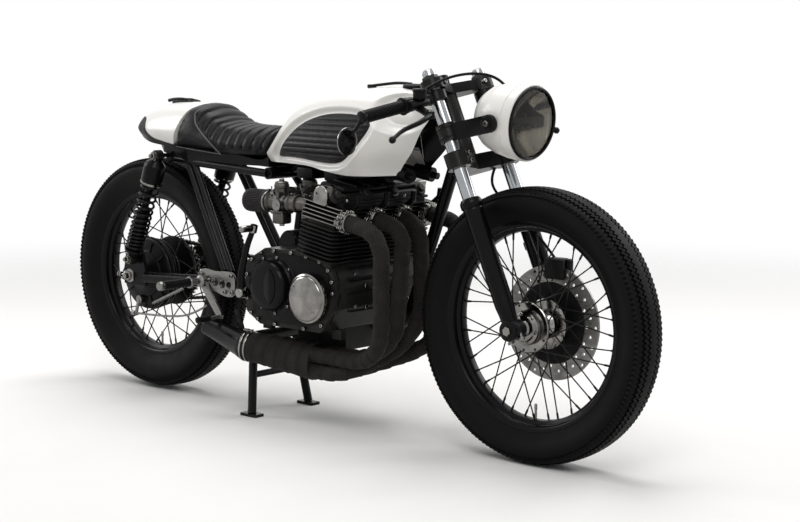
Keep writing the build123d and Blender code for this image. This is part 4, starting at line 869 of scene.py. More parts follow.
class MOTORCYCLE_OT_wheels(Operator):
    """Makes the tyres, rims, hubs, spokes, brake disc and sprocket"""
    bl_idname = "motorcycle.wheels"
    bl_label = "Wheels"

    def execute(self, context):
        sizes = context.scene.motorcycle_sizes
        for end, axle, flange_half, foot_radius in (("front", front_axle, 35 * MM, 57 * MM),
                                                    ("rear", rear_axle, 47 * MM, 97 * MM)):
            body = f"{end}_wheel"
            tyre = treaded_tyre(f"{end}_tread_tyre", axle, f"{end}_tyre", sizes)
            settled(tyre, body, "tyre", "tyre_rubber", f"{end}_tyre", angle=28)
            rim = wheel_rim(f"{end}_rolled_rim", axle, f"{end}_rim")
            settled(rim, body, "black_paint", "satin_powder_coat", f"{end}_rim")
            low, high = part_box(f"{end}_rim")
            tip = (high.z - low.z) / 2 - SPOKE_SEAT
            spokes = laced_spokes(f"{end}_spokes", axle, foot_radius, flange_half, tip, sizes)
            settled(spokes, body, "black_paint", "satin_powder_coat")
            valve = lathed(f"{end}_valve", solid_outline((3.2, 0), (3.2, 26), (4, 26), (4, 38), (3, 40)),
                           axle - Z * (tip + 2 * MM), Z, 12)
            settled(valve, body, "bare_metal", "bare_aluminium")
        self.front_hub()
        self.rear_hub()
        return {"FINISHED"}

    def front_hub(self):
        """The narrow hub, its dished cap on the right and the drilled disc on the left."""
        outline = [(9, -38), (40, -38), (61, -39), (63, -37), (63, -33), (60, -31), (34, -26), (27, -18),
                   (26, 0), (27, 18), (34, 26), (60, 31), (63, 33), (63, 37), (61, 39), (46, 40),
                   (46, 52), (9, 52)]
        hub = lathed("front_hub_shell", outline, front_axle, Y, 56)
        settled(hub, "front_wheel", "bare_metal", "polished_aluminium", "front_hub")
        cap = [(11, 36), (38, 36), (42, 40), (43, 46), (41, 50), (34, 52), (31, 57), (22, 59),
               (19, 64), (11, 65)]
        dished = lathed("front_hub_cap", cap, front_axle, -Y, 48)
        screws = bolts_round("front_hub_screws", front_axle - Y * 51 * MM, -Y, 36 * MM, 6, 3.4 * MM, 3 * MM)
        settled(joined("front_hub_cap", dished, screws), "front_wheel", "bare_metal", "polished_aluminium")
        thick = 6 * MM
        disc_y = 60 * MM
        rows = [(98 * MM, disc_y - thick / 2), (143 * MM, disc_y - thick / 2),
                (143 * MM, disc_y + thick / 2), (98 * MM, disc_y + thick / 2)]
        disc = turned("front_disc", rows, front_axle, Y, 96)
        drills = []
        for radius, count, start in ((107, 16, 0), (120, 16, 11), (133, 16, 22)):
            drill = rod("drill", front_axle + Vector((radius * MM, disc_y - 2 * thick, 0)),
                        front_axle + Vector((radius * MM, disc_y + 2 * thick, 0)), 4.2 * MM, 10)
            drills.append(repeated("drill", drill, spread(front_axle, "Y", count, start, start + 360)))
        drilled(disc, *drills)
        settled(disc, "front_wheel", "bare_metal", "bare_aluminium", "brake_disc")
        spider = [(44, 46), (70, 52), (101, 56), (103, 58), (101, 60), (70, 57), (44, 53)]
        carrier = lathed("front_disc_carrier", spider, front_axle, Y, 64)
        rivets = bolts_round("carrier_rivets", front_axle + Y * 61 * MM, Y, 98 * MM, 8, 5.5 * MM, 3 * MM)
        settled(joined("front_disc_carrier", carrier, rivets), "front_wheel", "black_paint",
                "cast_engine_paint")

    def rear_hub(self):
        """The wide drum hub, its ribs and the toothed chain sprocket."""
        outline = [(10, -48), (98, -48), (106, -46), (108, -41), (106, -37), (98, -35), (96, -31),
                   (102, -29), (102, -26), (95, -24), (95, -20), (101, -18), (101, -15), (94, -13),
                   (93, -6), (60, 4), (40, 12), (38, 34), (60, 41), (100, 42), (103, 45), (103, 50),
                   (100, 52), (60, 52), (52, 62), (10, 62)]
        hub = lathed("rear_drum_hub", outline, rear_axle, Y, 72)
        settled(hub, "rear_wheel", "engine_black", "cast_engine_paint", "rear_hub")
        teeth = 36
        tips = []
        for index in range(teeth * 6):
            phase = index % 6
            radius = (91.5, 92.5, 90, 84.5, 83, 84.5)[phase] * MM
            turn = 2 * math.pi * index / (teeth * 6)
            tips.append((radius * math.cos(turn), radius * math.sin(turn)))
        wheel = plate("rear_toothed_sprocket", tips, 6 * MM)
        holes = []
        for index in range(6):
            turn = 2 * math.pi * (index + 0.5) / 6
            spot = Vector((62 * MM * math.cos(turn), 62 * MM * math.sin(turn), -10 * MM))
            holes.append(rod("hole", spot, spot + Z * 30 * MM, 13 * MM, 24))
        drilled(wheel, *holes)
        placed(wheel, rear_axle + Y * 71 * MM, Y)
        nuts = bolts_round("sprocket_nuts", rear_axle + Y * 76 * MM, Y, 44 * MM, 6, 7 * MM, 6 * MM)
        settled(joined("rear_toothed_sprocket", wheel, nuts), "rear_wheel", "bare_metal", "bare_aluminium",
                "rear_sprocket")


# Tank and knee panels, from sections across the tank

# columns in mm: x, low half width, half width, waist height, shoulder half width and height, ridge height
TANK_SECTIONS = ((-160, 66, 80, 728, 60, 744, 777), (-127, 82, 96, 742, 78, 772, 816),
                 (-92, 92, 108, 754, 90, 798, 840), (-33, 104, 122, 766, 103, 834, 868),
                 (60, 116, 138, 776, 113, 862, 893), (150, 125, 147, 782, 117, 870, 906),
                 (240, 128, 151, 787, 115, 870, 911), (300, 127, 150, 790, 108, 866, 911),
                 (404, 112, 134, 790, 84, 856, 893))
# columns in mm: x, height of the lower edge
TANK_EDGE = ((-160, 704), (-60, 705), (21, 703), (100, 693), (155, 687), (268, 685), (404, 688))
# columns in mm: height, x of the fold, x of the front edge
TANK_FRONT = ((683, 180, 296), (703, 190, 308), (752, 228, 352), (800, 262, 380), (830, 284, 394),
              (860, 306, 400), (895, 330, 384), (912, 340, 372))
# Rear and front end of the tank, and where its nose starts to narrow, in mm
TANK_REAR, TANK_NOSE, NOSE_START = -160, 404, 180
TANK_COLUMNS, TANK_ROWS, WAIST_ROW = 230, 120, 30
FRONT_HALF_SHARE = 0.50
# Outline of the knee panel as shares of the tank's length and height
KNEE_OUTLINE = ((0.082, 0.105), (0.118, 0.215), (0.165, 0.330), (0.240, 0.480), (0.310, 0.570),
                (0.390, 0.640), (0.473, 0.683), (0.565, 0.698), (0.657, 0.690), (0.725, 0.655),
                (0.762, 0.590), (0.765, 0.520), (0.742, 0.430), (0.694, 0.303), (0.650, 0.210),
                (0.600, 0.120), (0.560, 0.070), (0.500, 0.048), (0.413, 0.052), (0.263, 0.086),
                (0.180, 0.092), (0.108, 0.082))
# Foot and height of that outline's box, in mm
KNEE_FOOT, KNEE_HEIGHT = 700, 210
KNEE_RECESS = 13 * MM
KNEE_LEDGE = 17 * MM
# Below this height the tank's faces that look down take the black coat: painted shade under the tank
TANK_SHADE_HEIGHT = 712 * MM


def section_curve(corners, count):
    """Points of a smooth section from its lower edge, over waist and shoulder, to its ridge."""
    corners = np.asarray(corners, dtype=float)
    before = 2 * corners[0] - corners[1]
    after = corners[-2] * (-1, 1)
    line = np.vstack((before, corners, after))
    shares = np.linspace(0, len(corners) - 1 - 1e-9, count)
    index = shares.astype(int)
    step = (shares - index)[:, None]
    p0, p1, p2, p3 = (line[index + shift] for shift in range(4))
    return 0.5 * (2 * p1 + (p2 - p0) * step + (2 * p0 - 5 * p1 + 4 * p2 - p3) * step ** 2
                  + (3 * p1 - p0 - 3 * p2 + p3) * step ** 3)


def inside_distance(outline, x, z):
    """Distance from points to an outline in the side view: positive inside it."""
    outline = np.asarray(outline, dtype=float)
    best = np.full(x.shape, np.inf)
    inside = np.zeros(x.shape, dtype=bool)
    for start, end in zip(outline, np.roll(outline, -1, axis=0)):
        run = end - start
        share = np.clip(((x - start[0]) * run[0] + (z - start[1]) * run[1]) / (run @ run), 0, 1)
        best = np.minimum(best, np.hypot(x - start[0] - share * run[0], z - start[1] - share * run[1]))
        crosses = (start[1] > z) != (end[1] > z)
        with np.errstate(divide="ignore", invalid="ignore"):
            at = start[0] + (z - start[1]) * run[0] / run[1]
        inside ^= crosses & (x < at)
    return np.where(inside, best, -best)


def rounded_outline(points, times=3):
    """Cuts the corners off a closed outline until it looks curved."""
    points = np.asarray(points, dtype=float)
    for _ in range(times):
        onward = np.roll(points, -1, axis=0)
        points = np.stack((0.75 * points + 0.25 * onward, 0.25 * points + 0.75 * onward),
                          axis=1).reshape(-1, 2)
    return points


def knee_outline():
    """The knee panel's outline in the side view, in metres."""
    shares = rounded_outline(KNEE_OUTLINE, 2)
    return np.stack((TANK_REAR * MM + shares[:, 0] * (TANK_NOSE - TANK_REAR) * MM,
                     KNEE_FOOT * MM + shares[:, 1] * KNEE_HEIGHT * MM), axis=1)


def tank_rows(recessed=True):
    """Points of the tank's right side: columns along it, rows from its lower edge to its ridge."""
    columns, rows = TANK_COLUMNS, TANK_ROWS
    stations = np.linspace(TANK_REAR, TANK_NOSE, columns)
    table = smoothed(TANK_SECTIONS, stations)
    edge = smoothed(TANK_EDGE, stations)[:, 0]
    points = np.empty((columns, rows, 3))
    for index, (low, half, waist, shoulder, shoulder_z, ridge) in enumerate(table):
        crest = (shoulder * 0.52 + half * 0.02, shoulder_z + (ridge - shoulder_z) * 0.76)
        curve = section_curve(((low, edge[index]), (half, waist), (shoulder, shoulder_z), crest,
                               (0, ridge)), rows)
        points[index] = np.column_stack((np.full(rows, stations[index]), curve))
    x, y, z = (points[..., axis] for axis in range(3))
    front = smoothed(TANK_FRONT, z)
    fold, nose = front[..., 0], front[..., 1]
    squeezed = NOSE_START + (x - NOSE_START) * (nose - NOSE_START) / (TANK_NOSE - NOSE_START)
    x = np.where(x > NOSE_START, squeezed, x)
    turn = np.clip((x - fold) / (nose - fold), 0, 1)
    keep = 1 - eased(z, 850, 893)
    y = y * (1 - (1 - FRONT_HALF_SHARE) * turn ** 1.15 * keep)
    scoop = 1 - np.sqrt(((x - 335) / 80) ** 2 + ((z - 866) / np.where(z < 866, 76, 40)) ** 2)
    y = y - 34 * eased(scoop, 0, 0.38) * eased(y, 30, 90)
    points = np.stack((x, y, z), axis=2) * MM
    if recessed:
        depth = inside_distance(knee_outline(), points[..., 0], points[..., 2])
        ledge = eased(depth, -KNEE_LEDGE, -1 * MM)
        outward = eased(points[..., 1], 20 * MM, 60 * MM)
        points[..., 1] -= KNEE_RECESS * ledge * outward
        lip = np.exp(-((depth + KNEE_LEDGE) / (5 * MM)) ** 2)
        points[..., 1] += 1.2 * MM * lip * outward
    return points


def tank_shell():
    """The steel tank: crowned top, recessed sides, folded front and scooped shoulders."""
    side = tank_rows()
    low = side[:, :1]
    tucked = [low * (1, inward, 1) + (0, 0, up * MM)
              for inward, up in ((0, 62), (0.45, 60), (0.90, 14), (0.955, -0.5))]
    half = np.concatenate((*tucked, side), axis=1)
    loop = np.concatenate((half * (1, -1, 1), half[:, ::-1][:, 1:]), axis=1)
    first, last = loop[:1], loop[-1:]
    rear_middle = first.mean(axis=1, keepdims=True)
    front_middle = last.mean(axis=1, keepdims=True)
    rear = [rear_middle + (first - rear_middle) * share + (inward * MM, 0, 0)
            for share, inward in ((0, 10), (0.9, 4), (0.975, 0))]
    front = [front_middle + (last - front_middle) * share - (inward * MM, 0, 0)
             for share, inward in ((0.97, 1), (0.90, 12), (0, 60))]
    return skin("steel_tank", np.concatenate((*rear, loop, *front)))


def knee_pad(sizes):
    """A padded leather panel with sewn horizontal ribs, tucked into the tank's recess."""
    outline = knee_outline()
    low_x, high_x = outline[:, 0].min(), outline[:, 0].max()
    columns, rows = 110, 90
    across = low_x + (high_x - low_x) * (1 - np.cos(np.linspace(0, math.pi, columns))) / 2
    side = tank_rows(recessed=False)
    panel = []
    for x in across:
        edge_z = []
        for start, end in zip(outline, np.roll(outline, -1, axis=0)):
            if (start[0] - x) * (end[0] - x) <= 0 and start[0] != end[0]:
                edge_z.append(start[1] + (end[1] - start[1]) * (x - start[0]) / (end[0] - start[0]))
        bottom, top = (min(edge_z), max(edge_z)) if edge_z else (outline[:, 1].mean(),) * 2
        nearest = np.abs(side[:, WAIST_ROW, 0] - x).argmin()
        column = side[nearest]
        heights = bottom + (top - bottom) * (1 - np.cos(np.linspace(0, math.pi, rows))) / 2
        skin_y = np.interp(heights, column[:, 2], column[:, 1])
        depth = np.maximum(inside_distance(outline, np.full(rows, x), heights), 0)
        swell = 1 - np.exp(-depth / (7 * MM))
        pitch = 140 * MM / (sizes.panel_ribs + 1.5)
        phase = (heights - 706 * MM) / pitch
        gap = np.abs(phase - np.round(phase)) * pitch
        rib = np.sqrt(np.clip(gap / (pitch / 2), 0, 1)) - 1
        ribs = sizes.rib_height * rib * eased(depth, 4 * MM, 12 * MM)
        face = skin_y - KNEE_RECESS - 3 * MM + 11 * MM * swell + ribs
        front = np.column_stack((np.full(rows, x), -face, heights))
        back = np.column_stack((np.full(rows, x), -(skin_y - KNEE_RECESS - 6 * MM), heights))[::-1]
        panel.append(np.concatenate((front, back, front[:1])))
    return skin("knee_pad_right", panel)


class MOTORCYCLE_OT_tank(Operator):
    """Makes the tank, its filler cap and the padded knee panels"""
    bl_idname = "motorcycle.tank"
    bl_label = "Tank and knee panels"

    def execute(self, context):
        sizes = context.scene.motorcycle_sizes
        tank = settled(tank_shell(), "chassis", "white_paint", "white_enamel", "tank", angle=50)

        # Painted shade: the tank's low downward faces and the inward faces of its front take the black
        # coat, where they fall dark
        def shaded_tank_faces(centre, normal):
            under = normal.z < -0.6 and centre.z < TANK_SHADE_HEIGHT
            return under or (centre.x > 150 * MM and normal.x > 0.1 and normal.y * centre.y < 0)

        two_toned(tank, "satin_powder_coat", shaded_tank_faces)
        pad = knee_pad(sizes)
        other = mirrored("knee_pad_left", pad)
        settled(pad, "chassis", "black_leather", "seat_leather", "knee_panels", angle=60)
        settled(other, "chassis", "black_leather", "seat_leather", angle=60)
        centre = Vector((300 * MM, 0, 909 * MM))
        outline = [(0, -12), (26, -12), (27, 0), (29, 2), (29, 6), (26, 9), (20, 10.5), (18, 9), (11, 9),
                   (9, 11), (0, 11.5)]
        cap = lathed("filler_disc", outline, centre, Z, 40)
        flap = tube("filler_lever", [centre + Vector(spot) * MM
                                     for spot in ((-12, 4, 10), (-50, 8, 13), (-100, 6, 9), (-150, 4, 3))],
                    4 * MM, 10)
        end = block("lever_end", centre + mm(-158, -7, -3), centre + mm(-140, 12, 7), 2.5 * MM)
        catch = block("filler_catch", centre + mm(20, -6, 0), centre + mm(34, 6, 9), 2 * MM)
        settled(joined("filler_flap_cap", cap, flap, end, catch), "chassis", "engine_black",
                "cast_engine_paint", "filler_cap")
        return {"FINISHED"}


# Seat and tail

# columns in mm: x, low half width, half width, shoulder half width, floor, shoulder and ridge heights
SADDLE_SECTIONS = ((-744, 18, 30, 18, 772, 792, 798), (-712, 54, 70, 48, 757, 806, 818),
                   (-655, 84, 100, 72, 742, 818, 842), (-560, 98, 113, 84, 731, 826, 854),
                   (-490, 103, 117, 87, 725, 828, 853), (-445, 104, 118, 87, 722, 822, 847),
                   (-405, 104, 117, 86, 720, 804, 826), (-360, 102, 115, 84, 719, 786, 801),
                   (-304, 99, 111, 82, 718, 777, 792), (-230, 92, 104, 77, 717, 773, 789),
                   (-162, 72, 84, 62, 716, 772, 790))
# Edge between cowl and seat, and the piping of the saddle, in mm: height, x
COWL_EDGE = ((714, -530), (740, -512), (806, -487), (840, -474), (860, -468))
PIPING_EDGE = ((716, -322), (739, -343), (778, -402), (800, -430), (822, -444), (845, -446), (860, -446))
# Edge between the white cowl and the black tub below it, in mm: x, height
TUB_EDGE = ((-750, 812), (-700, 810), (-656, 798), (-640, 776), (-617, 757), (-575, 745),
            (-530, 738), (-480, 733))
# Places of the sewn channels along the seat, in mm
CHANNELS = (-176, -207, -238, -269, -300, -331, -360, -386, -420)
SEAT_ROWS = 90
SEAT_VOXEL = 5 * MM
CLOTH_FRAMES = 20
CLOTH_REACH = 7 * MM


def saddle_rows(stations, rows, grow=0.0):
    """Points of the saddle's right side at stations along it: rows from its floor to its ridge."""
    table = smoothed(SADDLE_SECTIONS, stations)
    points = np.empty((len(stations), rows, 3))
    for index, (low, half, shoulder, floor_z, shoulder_z, ridge) in enumerate(table):
        waist = floor_z + (shoulder_z - floor_z) * 0.45
        crest = (shoulder * 0.55, shoulder_z + (ridge - shoulder_z) * 0.74)
        curve = section_curve(((low, floor_z), (half, waist), (shoulder, shoulder_z), crest,
                               (0, ridge)), rows)
        curve[:, 0] += grow * np.clip(curve[:, 0] / 20, 0, 1)
        points[index] = np.column_stack((np.full(rows, stations[index]), curve))
    return points * MM


def saddle_side(x, z):
    """Half width of the saddle at a place in the side view, in metres."""
    column = saddle_rows([x / MM], 80)[0]
    return float(np.interp(z, column[:, 2], column[:, 1]))


def closed_body(name, half):
    """A closed symmetrical body from its right-hand columns: each end is closed to a point."""
    floor_line = half[:, :1] * (1, 0, 1)
    half = np.concatenate((floor_line, half), axis=1)
    loop = np.concatenate((half * (1, -1, 1), half[:, ::-1][:, 1:]), axis=1)
    first, last = loop[:1], loop[-1:]
    start = first.mean(axis=1, keepdims=True)
    end = last.mean(axis=1, keepdims=True)
    return skin(name, np.concatenate((first * 0 + start, loop, last * 0 + end), axis=0))


class MOTORCYCLE_OT_seat(Operator):
    """Makes the padded seat, its piping, the tail cowl and the tub under it"""
    bl_idname = "motorcycle.seat"
    bl_label = "Seat and tail"

    def execute(self, context):
        sizes = context.scene.motorcycle_sizes
        self.seat(context, sizes)
        self.tail()
        return {"FINISHED"}

    def seat(self, context, sizes):
        """The saddle and its hump, swelled as stuffed leather, then sewn across."""
        rows, shrink = SEAT_ROWS, -2.0
        half = saddle_rows(np.linspace(-530, -163, 150), rows, shrink)
        edge = smoothed(COWL_EDGE, half[..., 2] / MM)[..., 0] * MM + 1.2 * MM
        share = (half[..., 0] - half[:1, :, 0]) / (half[-1:, :, 0] - half[:1, :, 0])
        start = edge[:1]
        half[..., 0] = start + share * (half[-1:, :, 0] - start)
        resampled = half.copy()
        for row in range(rows):
            source = saddle_rows(half[:, row, 0] / MM, rows, shrink)
            resampled[:, row] = source[:, row]
        seat = closed_body("padded_seat", resampled)
        modified(seat, "REMESH", mode="VOXEL", voxel_size=SEAT_VOXEL)
        self.swell(context, seat)
        modified(seat, "SUBSURF", levels=1, render_levels=1)
        self.sew(seat, sizes)
        settled(seat, "chassis", "black_leather", "seat_leather", "seat", angle=70)
        pieces, piping = [], []
        for side in (-1, 1):
            line = []
            for z, x in PIPING_EDGE[:5]:
                line.append(Vector((x * MM, side * (saddle_side(x * MM, z * MM) + 0.8 * MM), z * MM)))
            column = saddle_rows([-446], 80)[0]
            for y in (84, 66, 44, 22):
                height = float(np.interp(-y * MM, -column[:, 1], column[:, 2]))
                line.append(Vector((-446 * MM, side * y * MM, height + 0.6 * MM)))
            piping.append(line)
            low_line = []
            for x in (-505, -450, -400, -350, -322):
                z = 731 - (x + 505) * 0.075
                low_line.append(Vector((x * MM, side * (saddle_side(x * MM, z * MM) + 1.6 * MM), z * MM)))
            pieces.append(tube("trim_strip", low_line, 1.5 * MM, 8))
        pieces.append(tube("piping", piping[0] + piping[1][::-1], 2.2 * MM, 8))
        settled(joined("seat_piping", *pieces), "chassis", "black_leather", "piping_with_highlight")

    def swell(self, context, seat):
        """Swells the seat with a short cloth simulation, held to a small movement."""
        before = np.empty(len(seat.data.vertices) * 3)
        seat.data.vertices.foreach_get("co", before)
        cloth = seat.modifiers.new("cloth", "CLOTH")
        cloth.settings.use_pressure = True
        cloth.settings.uniform_pressure_force = 4.0
        cloth.settings.effector_weights.gravity = 0
        cloth.settings.tension_stiffness = 25
        cloth.settings.compression_stiffness = 25
        cloth.point_cache.frame_start = 1
        cloth.point_cache.frame_end = CLOTH_FRAMES
        for step in range(CLOTH_FRAMES):
            context.scene.frame_set(1 + step)
        evaluated = seat.evaluated_get(context.evaluated_depsgraph_get())
        after = np.empty(len(seat.data.vertices) * 3)
        evaluated.data.vertices.foreach_get("co", after)
        seat.modifiers.remove(cloth)
        context.scene.frame_set(1)
        moved = (after - before).reshape(-1, 3)
        reach = np.linalg.norm(moved, axis=1)[:, None]
        moved *= np.minimum(1, CLOTH_REACH / np.maximum(reach, 1e-9))
        points = before.reshape(-1, 3) + moved
        points[:, 2] = np.maximum(points[:, 2], before.reshape(-1, 3)[:, 2].min())
        points[:, 0] = np.minimum(points[:, 0], -162.5 * MM)
        seat.data.vertices.foreach_set("co", points.reshape(-1))
        seat.data.update()

    def sew(self, seat, sizes):
        """Presses the sewn channels into the saddle, and the groove of its piping."""
        count = len(seat.data.vertices)
        points = np.empty(count * 3)
        normals = np.empty(count * 3)
        seat.data.vertices.foreach_get("co", points)
        seat.data.vertex_normals.foreach_get("vector", normals)
        points, normals = points.reshape(-1, 3), normals.reshape(-1, 3)
        x, z = points[:, 0] / MM, points[:, 2] / MM
        pipe = smoothed(PIPING_EDGE, z)[:, 0]
        lines = np.array(CHANNELS)
        bow = 9 * eased(np.abs(points[:, 1]) / MM, 40, 105)
        gap = np.abs(x[:, None] + bow[:, None] - lines[None, :]).min(axis=1)
        crease = np.exp(-(gap / 3.4) ** 2)
        upper = eased(x - pipe, 2, 9) * eased(normals[:, 2] + np.abs(normals[:, 1]) * 0.9, 0.15, 0.5)
        above_floor = eased(z, 722, 731)
        roll = 1 - np.exp(-(gap / 9) ** 2)
        push = upper * above_floor * (roll * 2.5 * MM - crease * sizes.channel_depth)
        seam = np.exp(-((x - pipe) / 3.0) ** 2) * above_floor * eased(np.abs(points[:, 1]) / MM, 30, 60)
        push -= 2.0 * MM * seam
        points += normals * push[:, None]
        seat.data.vertices.foreach_set("co", points.reshape(-1))
        seat.data.update()

    def tail(self):
        """The white cowl over a black tub, and the latch on its top."""
        rows = SEAT_ROWS
        half = saddle_rows(np.linspace(-744, -440, 130), rows)
        edge = smoothed(COWL_EDGE, half[..., 2] / MM)[..., 0] * MM
        share = (half[..., 0] - half[:1, :, 0]) / (half[-1:, :, 0] - half[:1, :, 0])
        half[..., 0] = half[:1, :, 0] + share * (edge[-1:] - half[:1, :, 0])
        for row in range(rows):
            half[:, row] = saddle_rows(half[:, row, 0] / MM, rows)[:, row]
        settled(closed_body("white_tail_cowl", half), "chassis", "white_paint", "white_enamel",
                "tail_cowl", angle=50)
        band_rows = 26
        across = np.linspace(-744, -360, 150)
        body = saddle_rows(across, 240, 1.6)
        limit = smoothed(TUB_EDGE, across)[:, 0] * MM
        limit = np.where(across > -480, 733 * MM - (across + 480) * 0.08 * MM, limit)
        band = np.empty((len(across), band_rows, 3))
        for index, column in enumerate(body):
            heights = np.linspace(column[0, 2], max(limit[index], column[0, 2] + 2 * MM), band_rows)
            band[index] = np.column_stack((np.full(band_rows, across[index] * MM),
                                           np.interp(heights, column[:, 2], column[:, 1]), heights))
        tub = closed_body("tail_tub", band)
        settled(tub, "chassis", "black_paint", "moulded_rubber", angle=45)
        top = mm(-585, 0, 856)
        pieces = [block("latch_plate", top + mm(-40, -16, -12), top + mm(46, 16, 2), 2.5 * MM),
                  block("latch_hump", top + mm(-16, -13, 0), top + mm(22, 13, 8), 3 * MM)]
        for lift, side, reach in ((5, -10, (-60, 30)), (3, 11, (-40, 54))):
            start = top + mm(reach[0], side, lift - 5)
            middle_point = top + mm(-10, side, lift + 5)
            end = top + mm(reach[1], side * 0.6, lift - 5)
            pieces.append(tube("latch_bar", (start, middle_point, end), 5 * MM, 10))
        for x in (-22, 26):
            pieces.append(socket_bolt("latch_bolt", top + mm(x, 0, 3), Z, 5 * MM, 4 * MM))
        settled(joined("seat_latch", *pieces), "chassis", "engine_black", "cast_engine_paint", "tail_latch")


# Headlight

class MOTORCYCLE_OT_headlight(Operator):
    """Makes the headlight: its shell, rim, fluted glass, reflector and bulb shield"""
    bl_idname = "motorcycle.headlight"
    bl_label = "Headlight"

    def execute(self, context):
        sizes = context.scene.motorcycle_sizes
        tilt = math.radians(6)
        ahead = Vector((math.cos(tilt), 0, -math.sin(tilt)))
        centre = mm(672, 0, 832)
        shell = [(0, -138), (20, -137.5), (44, -134), (64, -122), (79, -100), (88, -70), (92.4, -40),
                 (93.6, -24), (93.8, -21), (92, -20), (92, -18.8), (94, -17.6), (94, 4), (93, 6.6),
                 (90.6, 7.6), (88, 6), (86, -30), (0, -60)]
        lamp = lathed("headlight_bowl", shell, centre, ahead, 96)
        settled(lamp, "steering", "white_paint", "white_enamel", "headlight_shell", angle=32)
        ring = [(84, 2), (88.6, 4), (89.6, 8), (89, 11.6), (87, 13.6), (84.6, 13.6),
                (82.8, 11.6), (82.8, 3)]
        bezel = lathed("lamp_bezel", ring, centre, ahead, 96)
        settled(bezel, "steering", "black_paint", "satin_powder_coat")
        bowl = [(0, -46), (24, -44), (48, -33), (68, -16), (83, 4), (82, 6.5), (66, -13), (46, -29),
                (22, -40), (0, -42)]
        reflector = lathed("lamp_reflector_bowl", bowl, centre, ahead, 72)
        settled(reflector, "steering", "polished_metal", "lamp_reflector")
        shield = [(0, -30), (15, -30), (20, -26), (21, -20), (18, -13), (9, -9), (0, -8)]
        bulb = lathed("bulb_shield", shield, centre, ahead, 36)
        strip = block("shield_strip", mm(-13, -62, -6), mm(13, 62, -4), 0.6 * MM)
        placed(strip, centre, ahead, Z)
        settled(joined("bulb_shield", bulb, strip), "steering", "black_paint", "satin_powder_coat")
        rim_radius, rim_height, bulge = 82.8 * MM, 8 * MM, 7 * MM
        turns = np.linspace(0, 2 * math.pi, 145)
        front, back = [], []
        for radius in np.linspace(0, rim_radius, 34):
            height = rim_height + bulge * (1 - (radius / rim_radius) ** 2)
            sideways = radius * np.sin(turns)
            flute = 0.14 * MM * np.cos(sideways / rim_radius * math.pi * sizes.lens_flutes / 2)
            flute *= radius < rim_radius * 0.88
            front.append(np.column_stack((radius * np.cos(turns), sideways, height + flute)))
            back.insert(0, np.column_stack((radius * np.cos(turns), sideways,
                                            np.full(turns.shape, height - 3.5 * MM))))
        glass = placed(skin("fluted_glass", front + back), centre, ahead, Z)
        settled(glass, "steering", "lamp_glass", "smoked_glass", "headlight_lens", angle=60)
        return {"FINISHED"}


# Engine

BLOCK_TILT = math.radians(10)
block_up = Vector((math.sin(BLOCK_TILT), 0, math.cos(BLOCK_TILT)))
block_ahead = Vector((math.cos(BLOCK_TILT), 0, -math.sin(BLOCK_TILT)))
block_foot = Vector((crank.x, 0, crank.z))
BORE_SHARES = (-1.5, -0.5, 0.5, 1.5)
BORE_PITCH = 106 * MM


def block_point(along, y, up):
    """A point by its distances, in mm, from the crank along and up the tilted cylinders."""
    return block_foot + (block_ahead * along + block_up * up) * MM + Y * y * MM


def cooling_fin(half_length, half_width, up, thickness):
    """One cooling fin: a thin plate whose long edges follow the four bores."""
    outline = []
    steps = 48
    for index in range(steps + 1):
        across = -1 + 2 * index / steps
        scallop = 2.6 * math.cos(across * half_width / (BORE_PITCH / MM) * 2 * math.pi + math.pi)
        corner = 9 * max(0.0, abs(across) - 0.94) / 0.06
        outline.append(((half_length - 2.6 + scallop - corner) * MM, across * half_width * MM))
    outline += [(-x, y) for x, y in reversed(outline)]
    fin = plate("fin", outline, thickness * MM, 0.7 * MM, 1)
    return placed(fin, block_point(0, 0, up), block_up, block_ahead)


